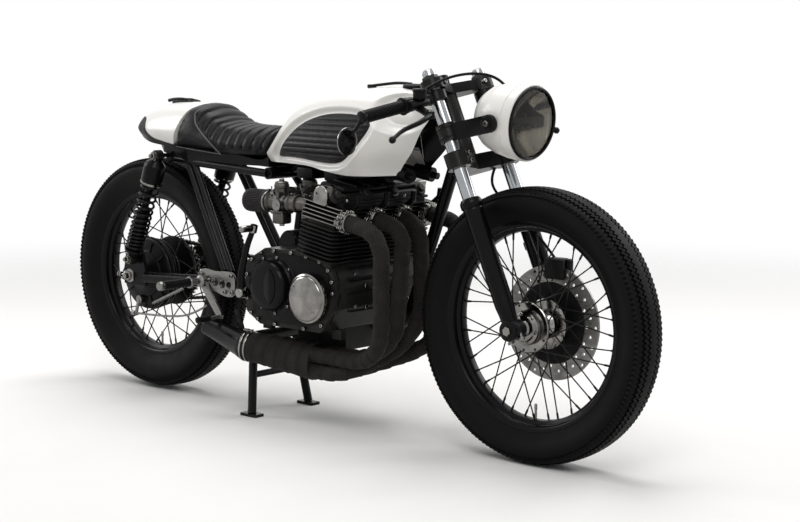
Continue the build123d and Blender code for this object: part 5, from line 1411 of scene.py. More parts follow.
class MOTORCYCLE_OT_engine(Operator):
    """Makes the covers, fins, cam cover and fasteners of the engine"""
    bl_idname = "motorcycle.engine"
    bl_label = "Engine"

    def execute(self, context):
        self.covers()
        self.cylinders()
        self.fasteners()
        return {"FINISHED"}

    def covers(self):
        """The clutch, points and alternator covers with their screws."""
        side = Vector((clutch_centre.x, -case_side, clutch_centre.z))
        clutch = [(0, -4), (71, -4), (71, 5), (69, 8), (67.5, 10), (66.8, 22), (65, 28), (60.5, 33),
                  (53, 35.4), (40, 36.3), (0, 36.6)]
        cover = lathed("clutch_shell", clutch, side, -Y, 72)
        facet = []
        for start, end, shift in ((-62, 62, -20), (118, 242, 20)):
            facet += arc_points((shift * MM, 0), 42 * MM, start, end, 14)
        facet = [(x * 0.95, y * 1.25) for x, y in facet]
        raised = plate("raised_facet", facet, 3 * MM, 1.2 * MM)
        placed(raised, side - Y * 35.2 * MM + X * 20 * MM, -Y, X)
        screws = bolts_round("clutch_screws", side - Y * 5 * MM, -Y, 76 * MM, 9, 4.4 * MM, 4 * MM, 12)
        flange = lathed("clutch_flange", ((60, -4), (83, -4), (83, 3), (81.5, 4.5), (60, 4.5)), side,
                        -Y, 64)
        settled(joined("clutch_domed_cover", cover, raised, flange), "chassis", "engine_black",
                "satin_powder_coat", "clutch_cover", angle=30)
        settled(screws, "chassis", "bare_metal", "polished_aluminium")
        side = block_foot - Y * case_side
        points = [(0, -4), (61, -4), (61, 12), (65, 14), (66, 17), (66, 24), (64.8, 26.5), (61, 28),
                  (59.5, 29), (58.5, 32), (56, 34.4), (52, 35.8), (44, 37.6), (32, 39.8),
                  (16, 41.4), (0, 41.9)]
        cover = lathed("points_shell", points, side, -Y, 96)
        screws = [socket_bolt("points_screw", side + mm(x, 0, z) - Y * 36 * MM, -Y, 4.6 * MM, 2.4 * MM)
                  for x, z in ((33, -30), (-33, 30))]
        settled(joined("points_polished_cover", cover, *screws), "chassis", "polished_metal",
                "polished_aluminium", "points_cover", angle=28)
        side = block_foot + Y * case_side
        alternator = [(0, -4), (78, -4), (78, 6), (75, 9), (73.5, 12), (72, 26), (67, 34), (56, 38.5),
                      (40, 40), (0, 40)]
        cover = lathed("alternator_shell", alternator, side, Y, 72)
        settled(cover, "chassis", "engine_black", "cast_engine_paint", "alternator_cover", angle=30)
        screws = bolts_round("alternator_screws", side + Y * 6 * MM, Y, 74.5 * MM, 8, 4.2 * MM, 4 * MM, 8)
        settled(screws, "chassis", "bare_metal", "polished_aluminium")

    def cylinders(self):
        """The cylinder block and head: finned barrels, bright-edged head fins and the cam cover."""
        core = [block("core", mm(-52, -172, 98), mm(52, 172, 206), 8 * MM)]
        placed(core[0], block_foot, block_up, block_ahead)
        for index in range(9):
            core.append(cooling_fin(67, 190 - 1.2 * (index % 2), 108 + 10.6 * index, 3.2))
        barrels = joined("finned_barrels", *core)
        settled(barrels, "chassis", "engine_black", "cast_engine_paint", "cylinder_block", angle=30)
        head = [block("head", mm(-60, -160, 200), mm(60, 160, 264), 7 * MM)]
        placed(head[0], block_foot, block_up, block_ahead)
        for index in range(5):
            head.append(cooling_fin(74, 180, 206 + 10.8 * index, 3.6))
        head = joined("finned_head", *head)
        settled(head, "chassis", "engine_black", "cast_engine_paint", "cylinder_head", angle=30)

        def on_edge(centre, normal):
            return abs(normal.dot(block_up)) < 0.35 and abs(centre.y) > 172 * MM

        two_toned(head, "polished_aluminium", on_edge)
        cover = [block("cam_box", mm(-58, -158, 260), mm(58, 158, 287), 7 * MM, 3),
                 block("cam_lid", mm(-44, -150, 284), mm(44, 150, 301), 9 * MM, 4),
                 block("cam_lip", mm(-63, -164, 262), mm(63, 164, 269), 2 * MM)]
        for y in (-100, -50, 0, 50, 100):
            cover.append(block("cam_rib", mm(-40, y - 3, 298), mm(40, y + 3, 304), 1.5 * MM))
        for piece in cover:
            placed(piece, block_foot, block_up, block_ahead)
        for share in BORE_SHARES:
            for lean in (-1, 1):
                up = (block_up + block_ahead * lean * 1.1).normalized()
                spot = block_point(lean * 49, share * 106 - 20, 283)
                outline = solid_outline((19, -6), (19, 4), (17, 6))
                cover.append(lathed("tappet_ring", outline, spot, up, 28))
                cover.append(hexagon("tappet_cap", spot + up * 6 * MM, up, 11 * MM, 7 * MM))
        settled(joined("cam_cover", *cover), "chassis", "engine_black", "cast_engine_paint", angle=30)
        bolts = []
        for y in (-146, -73, 0, 73, 146):
            for along in (-56, 56):
                bolts.append(socket_bolt("cam_bolt", block_point(along, y, 271), block_up, 5 * MM, 5 * MM))
        settled(joined("cam_bolts", *bolts), "chassis", "bare_metal", "polished_aluminium")
        caps = []
        outline = arc_points((0, 0), 25 * MM, -20, 200, 22)
        outline += [(x * MM, y * MM) for x, y in ((-25, -20), (-20, -25), (20, -25), (25, -20))]
        for side in (-1, 1):
            cap = plate("cam_end", outline, 44 * MM, 4 * MM, 4)
            placed(cap, block_point(4, side * 148, 276), Y * side, block_ahead)
            dimple = lathed("cam_screw", ((0, -2), (5, -2), (5, 1.2), (3, 1.2), (2.6, 0), (0, 0)),
                            block_point(-8, side * 192, 279), Y * side, 16)
            caps += [cap, dimple]
        settled(joined("polished_cam_ends", *caps), "chassis", "polished_metal",
                "polished_aluminium", "cam_caps")
        coils = []
        for share in BORE_SHARES:
            foot = block_point(60, share * 106 + 22, 236)
            lean = (block_up + block_ahead * 0.9).normalized()
            coils.append(rod("plug_cap", foot, foot + lean * 44 * MM, 8.5 * MM, 18))
            elbow = foot + lean * 40 * MM
            coils.append(rod("plug_elbow", elbow, elbow + block_up * 26 * MM, 7 * MM, 16))
        for x, z in ((96, 678), (140, 686), (-6, 680)):
            coils.append(block("loom_box", mm(x - 30, -92, z - 14), mm(x + 30, -20, z + 16), 5 * MM))
            coils.append(block("loom_box", mm(x - 26, 24, z - 14), mm(x + 26, 92, z + 16), 5 * MM))
        for y in (-38, 38):
            for x in (236, 300):
                start = mm(x - 26, y, 696)
                end = mm(x + 26, y * 1.2, 686)
                coils.append(rod("coil", start, end, 19 * MM, 28))
                coils.append(rod("coil_nose", end, end + (end - start) * 0.3, 9 * MM, 20))
        settled(joined("ignition_coils", *coils), "chassis", "rubber", "moulded_rubber")

    def fasteners(self):
        """Case seam, raised bosses, studs and the bright socket screws round the cases."""
        x0, x1 = -156, 186
        z0, z1 = 275, 482
        shares = ((0, 0.15), (0, 0.80), (0.22, 1.0), (0.62, 1.0), (0.92, 0.90), (1.0, 0.60), (0.95, 0.30),
                  (0.83, 0), (0.16, 0))
        corners = np.array([(x0 + a * (x1 - x0), z0 + b * (z1 - z0)) for a, b in shares])
        seam = rounded_outline(corners, 3)
        middle_point = seam.mean(axis=0)
        pieces = []
        for side in (-1, 1):
            rim = [tuple((middle_point + (p - middle_point) * 1.008) * MM) for p in seam]
            pieces.append(side_plate("case_flange", rim, side * 146 * MM, side * 153 * MM, 1.2 * MM))
            raised = [tuple((middle_point + (p - middle_point) * 0.90) * MM) for p in seam]
            pieces.append(side_plate("case_face", raised, side * 164 * MM, side * 168 * MM, 1.4 * MM))
        for z in (330, 372, 414, 452):
            pieces.append(block("front_rib", mm(176, -120, z), mm(188, 120, z + 5), 1.5 * MM))
        oval = [(x * 0.42, y) for x, y in arc_points((0, 0), 26 * MM, 0, 352, 34)]
        boss = plate("oval_boss", oval, 7 * MM, 1.6 * MM)
        placed(boss, mm(150, -164, 395), -Y, X)
        inner = plate("oval_face", [(x * 0.68, y * 0.8) for x, y in oval], 3 * MM, 1 * MM)
        placed(inner, mm(150, -170, 395), -Y, X)
        pieces += [boss, inner]
        for x in (-20, 18, 56):
            pieces.append(block("case_top_rib", mm(x, -150, 470), mm(x + 5, 150, 484), 1.5 * MM))
        starter = lathed("starter", solid_outline((30, -92), (34, -86), (34, 76), (30, 82)),
                         mm(-92, 20, 486), Y, 40)
        pieces.append(starter)
        settled(joined("case_castings", *pieces), "chassis", "engine_black", "cast_engine_paint", angle=30)
        bolts = []
        inset = [(middle_point + (p - middle_point) * 0.945) for p in rounded_outline(corners, 1)]
        for side in (-1, 1):
            for spot in inset:
                hidden = min((Vector((spot[0], 0, spot[1])) - Vector((c.x, 0, c.z)) / MM).length
                             for c in (crank, clutch_centre))
                if hidden > 74 or side > 0:
                    bolts.append(socket_bolt("case_bolt",
                                             Vector((spot[0] * MM, side * 168 * MM, spot[1] * MM)),
                                             Y * side, 5.2 * MM, 5 * MM))
            for y, z in ((60, 395), (60, 340), (100, 430), (100, 345)):
                bolts.append(hexagon("front_nut", mm(186, side * y, z), X, 6 * MM, 5 * MM))
        settled(joined("case_bolts", *bolts), "chassis", "bare_metal", "polished_aluminium")
        low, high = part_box("oil_filter")
        centre_y, centre_z = (low.y + high.y) / 2, (low.z + high.z) / 2
        radius = (high.z - low.z) / 2 / MM
        profile = [(0, -40), (radius - 2, -40)]
        for index in range(6):
            at = -34 + index * 5.6
            profile += [(radius - 3.5, at), (radius, at + 1), (radius, at + 2.6), (radius - 3.5, at + 3.6)]
        profile += [(radius - 5, 2), (radius - 12, 6), (8, 8), (8, 0), (0, 0)]
        housing = lathed("finned_oil_filter", profile, Vector((high.x - 8 * MM, centre_y, centre_z)), X, 56)
        settled(housing, "chassis", "engine_black", "cast_engine_paint", "oil_filter", angle=30)
        bolt = hexagon("oil_filter_bolt", Vector((high.x - 9 * MM, centre_y, centre_z)), X,
                       8.5 * MM, 8 * MM)
        settled(bolt, "chassis", "bare_metal", "polished_aluminium")


class MOTORCYCLE_OT_intake(Operator):
    """Makes the four carburettors and their pod filters"""
    bl_idname = "motorcycle.intake"
    bl_label = "Carburettors and filters"

    def execute(self, context):
        bodies, bright, pods, rings = [], [], [], []
        intake_z = 606 * MM
        centre_x = -22 * MM
        for share in BORE_SHARES:
            centre = Vector((centre_x, share * BORE_PITCH, intake_z))
            throat = [(0, -46), (24, -46), (25, -44), (25, -39), (20, -36), (19, -18), (22, -14), (22, 14),
                      (19, 18), (19, 30), (24, 33), (24, 39), (21, 41), (21, 56), (24, 58), (24, 64),
                      (19, 66), (19, 104), (0, 104)]
            bodies.append(lathed("throat", throat, centre, X, 32))
            tower = [(0, -10), (21, -10), (21, 14), (18, 18), (17.5, 38), (20, 40), (20, 47), (18.5, 48.5),
                     (18, 53), (14, 56), (7, 57), (7, 61), (0, 61)]
            bodies.append(lathed("slide_tower", tower, centre, Z, 32))
            bodies.append(block("bowl_flange", centre + mm(-24, -23, -27),
                                centre + mm(24, 23, -20), 2.4 * MM))
            bowl = block("float_bowl", centre + mm(-20, -19, -56), centre + mm(20, 19, -24), 7 * MM, 4)
            bodies.append(bowl)
            bodies.append(rod("pilot", centre + mm(10, 0, 24), centre + mm(10, -26, 24), 6 * MM, 20))
            bright.append(hexagon("drain", centre - Z * 56 * MM, -Z, 7 * MM, 6 * MM))
            bright.append(hexagon("tower_nut", centre + Z * 58 * MM, Z, 5.5 * MM, 6 * MM))
            for x in (-19, 19):
                for y in (-18, 18):
                    bright.append(socket_bolt("bowl_screw", centre + mm(x, y, -27), -Z, 2.6 * MM, 2.4 * MM))
            bright.append(lathed("throttle_wheel", ((0, 0), (15, 0), (15, 1.5), (12, 2.2), (12, 3.6),
                                                    (15, 4.4), (15, 6), (0, 6)),
                                 centre + mm(8, -24, -4), -Y, 28))
            bright.append(tube("choke_link", [centre + mm(8, -27, 8), centre + mm(-8, -29, 26),
                                              centre + mm(-12, -26, 44)], 1.8 * MM, 8))
            end = centre - X * 44 * MM
            turns = np.linspace(0, 2 * math.pi, 161)
            rows = []
            for place, radius, pleat in ((0, 0, 0), (0, 24, 0), (6, 26, 0), (9, 30, 0), (12, 30.5, 0.4),
                                         (15, 30, 1.3), (40, 30, 1.3), (66, 30, 1.3), (69, 30.5, 0.4),
                                         (72, 31, 0), (78, 30, 0), (81, 26, 0), (82, 20, 0), (82, 0, 0)):
                wavy = radius + pleat * (np.abs(np.sin(turns * 20)) * 2 - 1)
                rows.append(np.column_stack((np.full(turns.shape, -place), wavy * np.cos(turns),
                                             wavy * np.sin(turns))))
            pod = skin("pod", np.array(rows) * MM + np.array(end))
            pods.append(pod)
            rings.append(lathed("pod_ring", ((23, 2), (27.6, 2), (28.2, 4), (28.2, 9), (27.6, 11),
                                             (23, 11)), end, -X, 40))
            rings.append(block("pod_screw", end + mm(-11, -5, 27), end + mm(-2, 7, 33), 1.5 * MM))
        bar = rod("throttle_shaft", Vector((centre_x + 8 * MM, -190 * MM, intake_z - 4 * MM)),
                  Vector((centre_x + 8 * MM, 190 * MM, intake_z - 4 * MM)), 4 * MM, 12)
        bracket = block("carb_rail", Vector((centre_x - 34 * MM, -170 * MM, intake_z + 19 * MM)),
                        Vector((centre_x - 26 * MM, 170 * MM, intake_z + 27 * MM)), 1.5 * MM)
        settled(joined("slide_carburettors", *bodies), "chassis", "bare_metal", "carburettor_alloy",
                "carburettors", angle=30)
        settled(joined("carburettor_fittings", *bright, bar, bracket), "chassis", "bare_metal",
                "bare_aluminium")
        settled(joined("pleated_pods", *pods), "chassis", "rubber", "fine_gauze", "pod_filters", angle=45)
        settled(joined("pod_clamps", *rings), "chassis", "bare_metal", "bare_aluminium")
        return {"FINISHED"}


# Exhaust

def filleted(points, share=0.45, spacing=4 * MM):
    """Evenly spaced points along straight runs joined by arcs, each as large as its runs allow."""
    points = [Vector(p) for p in points]
    line = [points[0]]
    for before, here, after in zip(points, points[1:], points[2:]):
        into = (here - before).normalized()
        out = (after - here).normalized()
        half = into.angle(out) / 2
        cut = share * min((here - before).length, (after - here).length)
        radius = cut / math.tan(half)
        centre = here + (out - into).normalized() * (radius / math.cos(half))
        normal = into.cross(out).normalized()
        arm = here - into * cut - centre
        steps = max(4, int(2 * half * radius / spacing))
        line += [centre + Matrix.Rotation(2 * half * step / steps, 3, normal) @ arm
                 for step in range(steps + 1)]
    line.append(points[-1])
    line = np.array([tuple(p) for p in line])
    gaps = np.linalg.norm(np.diff(line, axis=0), axis=1)
    along = np.concatenate(((0,), np.cumsum(gaps)))
    places = np.linspace(0, along[-1], max(3, int(along[-1] / spacing)))
    return np.column_stack([np.interp(places, along, line[:, axis]) for axis in range(3)]), places


def swept(name, line, places, radii, sides):
    """A round pipe along a line, its radius given for each place and angle, its UV in metres."""
    ahead = np.gradient(line, axis=0)
    ahead /= np.linalg.norm(ahead, axis=1)[:, None]
    normal = Vector(ahead[0]).orthogonal().normalized()
    turns = np.linspace(0, 2 * math.pi, sides + 1)
    rows = []
    for index, (spot, run) in enumerate(zip(line, ahead)):
        run = Vector(run)
        normal = (normal - run * normal.dot(run)).normalized()
        across = run.cross(normal)
        ring = radii(places[index], turns)
        circle = np.cos(turns)[:, None] * np.array(normal) + np.sin(turns)[:, None] * np.array(across)
        rows.append(np.array(spot) + ring[:, None] * circle)
    rows = np.array(rows)
    rows = np.concatenate((rows[:1] * 0 + line[0], rows, rows[-1:] * 0 + line[-1]), axis=0)
    deselect()
    bpy.ops.mesh.primitive_grid_add(x_subdivisions=rows.shape[1] - 1, y_subdivisions=rows.shape[0] - 1)
    made = named(name)
    made.data.vertices.foreach_set("co", rows.reshape(-1))
    lengths = np.concatenate((places[:1], places, places[-1:]))
    rounds = turns * float(radii(places[0], turns).mean())
    flat = np.stack(np.meshgrid(rounds, lengths), axis=2).reshape(-1, 2)
    corners = np.empty(len(made.data.loops), dtype=int)
    made.data.loops.foreach_get("vertex_index", corners)
    made.data.uv_layers.active.data.foreach_set("uv", flat[corners].reshape(-1))
    made.data.update()
    return mended(made)


def wrapped(name, points, radius_start, radius_end, sizes, share=0.45):
    """A pipe under spiral tape: each turn laps over the one before it."""
    line, places = filleted(points, share, 3.4 * MM)
    total = places[-1]

    def radii(place, turns):
        lap = np.mod(place / sizes.wrap_pitch + turns / (2 * math.pi), 1.0)
        step = sizes.wrap_thickness * (1 - lap) * eased(lap, 0.0, 0.07)
        ripple = 0.4 * MM * np.sin(turns * 3 + place / (9 * MM))
        return radius_start + (radius_end - radius_start) * place / total + step + ripple - 1.0 * MM

    return swept(name, line, places, radii, 40)


class MOTORCYCLE_OT_exhaust(Operator):
    """Makes the wrapped exhaust pipes, their clamps, bands and the silencer"""
    bl_idname = "motorcycle.exhaust"
    bl_label = "Exhaust"

    def execute(self, context):
        sizes = context.scene.motorcycle_sizes
        reach, height = 340 * MM, 566 * MM
        collector = mm(45, -100, 183)
        # columns: bore, two bends as shares of reach, pitch and height, where it joins, place in the bundle
        routes = ((-1.5, (1.0, -1.56, 0.965), (0.96, -1.44, 0.46), 0.70, (-0.5, 0.5)),
                  (-0.5, (0.87, -0.31, 0.965), (0.88, -0.62, 0.47), 0.62, (0.5, 0.5)),
                  (0.5, (0.87, 0.31, 0.965), (0.88, 0.34, 0.46), 0.50, (-0.5, -0.5)),
                  (1.5, (1.0, 1.56, 0.965), (0.97, 1.10, 0.43), 0.42, (0.5, -0.5)))
        pipes, clamps = [], []
        for share, high, low, join, place in routes:
            start = block_point(64, share * 106, 222)
            end = collector + Vector((0, place[0], place[1])) * 42.8 * MM
            bends = [Vector((x * reach, across * BORE_PITCH, up * height)) for x, across, up in (high, low)]
            points = [start, *bends, Vector((join * reach, end.y, end.z)), end - X * 24 * MM]
            pipes.append(wrapped("wrapped_pipe", points, 21 * MM, 21 * MM, sizes))
            outline = []
            lobes = 12
            for index in range(lobes * 4):
                radius = (31.5, 31.5, 28.0, 28.0)[index % 4] * MM
                turn = 2 * math.pi * (index + (0.3 if index % 2 else -0.3)) / (lobes * 4)
                outline.append((radius * math.cos(turn), radius * math.sin(turn)))
            for step in range(3):
                ring = plate("clamp_fin", outline, 4.6 * MM, 1.3 * MM)
                clamps.append(placed(ring, start + block_ahead * (4 + step * 6.4) * MM,
                                     block_ahead, block_up))
            collar = lathed("clamp_collar", ((20, 0), (27, 0), (27, 24), (25, 26), (20, 26)), start,
                            block_ahead, 32)
            clamps.append(collar)
            for side in (-1, 1):
                clamps.append(hexagon("clamp_nut", start + Y * side * 33 * MM + block_ahead * 12 * MM,
                                      block_ahead, 6.5 * MM, 8 * MM))
                clamps.append(block("clamp_ear", mm(-3, -9, -7), mm(3, 9, 7), 1.5 * MM))
                placed(clamps[-1], start + Y * side * 31 * MM + block_ahead * 9 * MM, block_up, block_ahead)
        settled(joined("wrapped_headers", *pipes), "chassis", "pipe_wrap", "woven_wrap",
                "exhaust_headers", angle=50)
        settled(joined("finned_clamps", *clamps), "chassis", "bare_metal", "polished_aluminium",
                "header_clamps")
        points = [collector + X * 6 * MM, mm(-70, -126, 194.5), mm(-178, -152, 206)]
        body = wrapped("wrapped_collector", points, 52 * MM, 39 * MM, sizes, 0.3)
        settled(body, "chassis", "pipe_wrap", "woven_wrap", "exhaust_collector", angle=50)
        run = points[2] - points[1]
        direction = run.normalized()
        bands = []
        for share in (0.78, 0.90):
            spot = points[1] + run * share
            ring = [(38, 0), (42.4, 0), (43, 1), (43, 4), (42.4, 5), (38, 5)]
            bands.append(lathed("band", ring, spot, direction, 48))
            buckle = block("buckle", mm(-3, -6, 41), mm(12, 6, 47), 1.5 * MM)
            bands.append(placed(buckle, spot, Z, direction))
        settled(joined("steel_bands", *bands), "chassis", "bare_metal", "polished_aluminium",
                "exhaust_bands")
        tip = mm(-314, -166, 246)
        start = points[2] - direction * 6 * MM
        length = (tip - start).length / MM
        cone = [(0, -4), (37, -4), (39, 2), (39, 8), (37.5, 12), (25, length - 12), (25.5, length - 8),
                (26, length - 4), (25, length - 1), (23, length), (19.6, length - 1), (19, length - 60),
                (0, length - 60)]
        silencer = lathed("reverse_cone_silencer", cone, start, tip - start, 56)
        settled(silencer, "chassis", "black_paint", "smoked_steel", "silencer", angle=30)
        outline = [(x * MM, z * MM) for x, z in ((-196, 232), (-180, 236), (-202, 300), (-222, 300))]
        hanger = side_plate("silencer_hanger", outline, -150 * MM, -144 * MM, 1.5 * MM)
        settled(hanger, "chassis", "black_paint", "satin_powder_coat")
        return {"FINISHED"}


# Fork, shock absorbers and swingarm

def coil(name, start, end, ring_radius, wire_radius, turns, closing):
    """A helical spring between two points; closing winds its far end tighter."""
    start, end = Vector(start), Vector(end)
    steps = 26
    share = np.linspace(0, 1, turns * steps + 1)
    shift = closing * np.sin(math.pi * share) * 0.5 / math.pi * (1 + share)
    height = (share + shift) * (end - start).length
    turn = share * turns * 2 * math.pi
    rounds = np.linspace(0, 2 * math.pi, 9)
    reach = ring_radius + wire_radius * np.cos(rounds)[None, :]
    rows = np.stack((reach * np.cos(turn)[:, None], reach * np.sin(turn)[:, None],
                     height[:, None] + wire_radius * np.sin(rounds)[None, :]), axis=2)
    ends = [np.repeat(rows[at].mean(axis=0)[None, :], len(rounds), axis=0) for at in (0, -1)]
    return placed(skin(name, np.stack([ends[0], *rows, ends[1]])), start, end - start)


def knurled(name, start, end, radius, rings, depth):
    """A round grip between two points, with grooves turned round it."""
    start, end = Vector(start), Vector(end)
    length = (end - start).length
    outline = [(radius * 0.8, 0), (radius, 1 * MM)]
    for index in range(rings):
        at = length * (index + 0.6) / (rings + 0.4)
        wide = length / (rings + 0.4)
        outline += [(radius, at - wide * 0.22), (radius - depth, at - wide * 0.10),
                    (radius - depth, at + wide * 0.10), (radius, at + wide * 0.22)]
    outline += [(radius, length - 1 * MM), (radius * 0.8, length)]
    return turned(name, solid_outline(*outline), start, end - start, 28)


class MOTORCYCLE_OT_fork(Operator):
    """Makes the fork's tubes, sliders, caps, bolts and the front caliper"""
    bl_idname = "motorcycle.fork"
    bl_label = "Front fork"

    def execute(self, context):
        tubes, sliders, fittings, collars = [], [], [], []
        for side in (-1, 1):
            y = side * fork_half_spacing
            tubes.append(lathed("fork_tube", ((0, 320), (17.5, 320), (17.5, 652), (0, 652)),
                                fork_point(0, y), fork_up, 36))
            tubes.append(lathed("fork_cap", ((0, 656), (17, 656), (17, 667), (15.5, 668), (15, 671.5),
                                             (12, 674.6), (6, 676), (0, 676)),
                                fork_point(0, y), fork_up, 28))
            collars.append(hexagon("cap_collar", fork_point(647 * MM, y), fork_up, 20.5 * MM, 12 * MM))
            outline = [(0, 6), (17, 6), (20, 20), (21.5, 44), (23.6, 60), (24, 72), (24, 300), (25.2, 304),
                       (25.2, 309), (24, 311), (26, 313), (28, 316), (28, 326), (27, 330), (23, 336),
                       (18.2, 336.4), (0, 336.4)]
            sliders.append(lathed("slider", outline, fork_point(0, y), fork_up, 44))
            foot = [(0, -23), (19, -23), (25, -21), (26, -18), (26, 18), (25, 21), (19, 23), (0, 23)]
            sliders.append(lathed("slider_foot", foot, fork_point(0, y), Y, 40))
            lug = block("mudguard_lug", mm(-8, -7, 196), mm(-30, 7, 218), 3 * MM)
            sliders.append(placed(lug, fork_point(0, y), fork_up, fork_forward))
            for ahead in (-19, 19):
                stud = fork_point(-24 * MM, y) + fork_forward * ahead * MM
                fittings.append(rod("clamp_stud", stud, stud + fork_up * 20 * MM, 4 * MM, 12))
                fittings.append(hexagon("clamp_nut", stud, -fork_up, 7 * MM, 7 * MM))
            drain = fork_point(38 * MM, y) - fork_forward * 18 * MM
            fittings.append(socket_bolt("drain_screw", drain, -fork_forward, 5 * MM, 5 * MM))
            fittings.append(hexagon("axle_nut", front_axle + Y * side * 117 * MM, Y * side,
                                    12 * MM, 6 * MM))
            fittings.append(lathed("axle_collar", ((0, 0), (15, 0), (15, 6), (0, 6)),
                                   front_axle + Y * side * 66 * MM, Y * side, 24))
            for run, reach in ((436, 26), (633, 25)):
                for lift in ((-10, 10) if run == 436 else (0,)):
                    spot = fork_point((run + lift) * MM, y * 0.80) + fork_forward * reach * MM
                    fittings.append(socket_bolt("yoke_bolt", spot, fork_forward, 5.5 * MM, 6 * MM))
        settled(joined("chromed_fork_tubes", *tubes), "steering", "polished_metal",
                "hard_chrome", "fork_tubes")
        settled(joined("fork_cap_collars", *collars), "steering", "engine_black", "cast_engine_paint")
        settled(joined("cast_fork_sliders", *sliders), "steering", "black_paint", "satin_powder_coat",
                "fork_sliders", angle=40)
        nut = hexagon("stem_nut", axis_point(STEM_TOP), fork_up, 14 * MM, 2 * MM)
        settled(joined("fork_fittings", *fittings, nut), "steering", "bare_metal", "polished_aluminium")
        self.lamp_ears()
        self.caliper()
        self.gauge()
        return {"FINISHED"}

    def lamp_ears(self):
        """The washers, bolts and clamps of the headlight brackets."""
        pieces, bright = [], []
        for side in (-1, 1):
            ear = mm(629, side * 103, 832)
            ring = [(0, 0), (19, 0), (21, 2), (21, 5), (18, 7), (12, 7), (12, 9), (0, 9)]
            pieces.append(lathed("ear_washer", ring, ear, Y * side, 36))
            bright.append(socket_bolt("ear_bolt", ear + Y * side * 9 * MM, Y * side, 7.5 * MM, 6 * MM))
            for run in (496, 520):
                ring = [(18, -3), (25.5, -3), (26.5, -1.5), (26.5, 1.5), (25.5, 3), (18, 3)]
                pieces.append(lathed("bracket_clamp", ring, fork_point(run * MM, side * fork_half_spacing),
                                     fork_up, 32))
        settled(joined("lamp_ear_washers", *pieces), "steering", "black_paint", "satin_powder_coat")
        settled(joined("lamp_ear_bolts", *bright), "steering", "bare_metal", "oiled_steel")

    def caliper(self):
        """The two halves of the front caliper, its piston housing and its bracket."""
        pieces = [block("caliper_inner", mm(686, 47, 450), mm(744, 55.5, 500), 2.5 * MM),
                  block("caliper_outer", mm(682, 64.5, 449), mm(748, 88, 500), 6 * MM, 3),
                  block("caliper_bridge", mm(690, 50, 489), mm(738, 80, 502), 4 * MM, 3)]
        piston = [(0, 84), (24, 84), (24, 92), (22, 96), (18, 98.5), (0, 99)]
        pieces.append(lathed("caliper_piston", piston, mm(715, 0, 474), Y, 40))
        settled(joined("disc_caliper", *pieces), "steering", "engine_black", "cast_engine_paint",
                "brake_caliper")
        arm_low, arm_high = fork_point(112 * MM), fork_point(150 * MM)
        outline = [(arm_low.x - 4 * MM, arm_low.z), (690 * MM, 452 * MM), (692 * MM, 496 * MM),
                   (arm_high.x - 4 * MM, arm_high.z + 4 * MM)]
        arm = side_plate("caliper_arm", outline, 82 * MM, 93 * MM, 2 * MM)
        bolts = [socket_bolt("caliper_bolt", mm(x, 93, z), Y, 6 * MM, 5 * MM)
                 for x, z in ((694, 462), (694, 490))]
        settled(joined("caliper_bracket", arm, *bolts), "steering", "bare_metal", "bare_aluminium")

    def gauge(self):
        """A small speedometer: a dark can, and a white needle and marks on its dial."""
        foot = axis_point(STEM_TOP)
        can = [(0, 2), (20, 2), (23, 6), (23.5, 20), (24, 23), (24, 26.5), (22.5, 28), (20.5, 28),
               (20.5, 25.5), (0, 25.5)]
        body = lathed("gauge_can", can, foot, fork_up, 48)
        settled(body, "steering", "engine_black", "cast_engine_paint", "instrument")
        needle = block("gauge_needle", mm(-1, -3, 26), mm(1, 15, 26.8), 0.3 * MM)
        placed(needle, foot, fork_up, fork_forward)
        mark = block("gauge_mark", mm(15, -0.7, 26), mm(19, 0.7, 26.5), 0.2 * MM)
        placed(mark, foot, fork_up, fork_forward)
        ring = repeated("gauge_marks", mark, spread(foot, fork_up, 10, -135, 165))
        settled(joined("gauge_dial", needle, ring), "steering", "white_paint", "white_enamel")


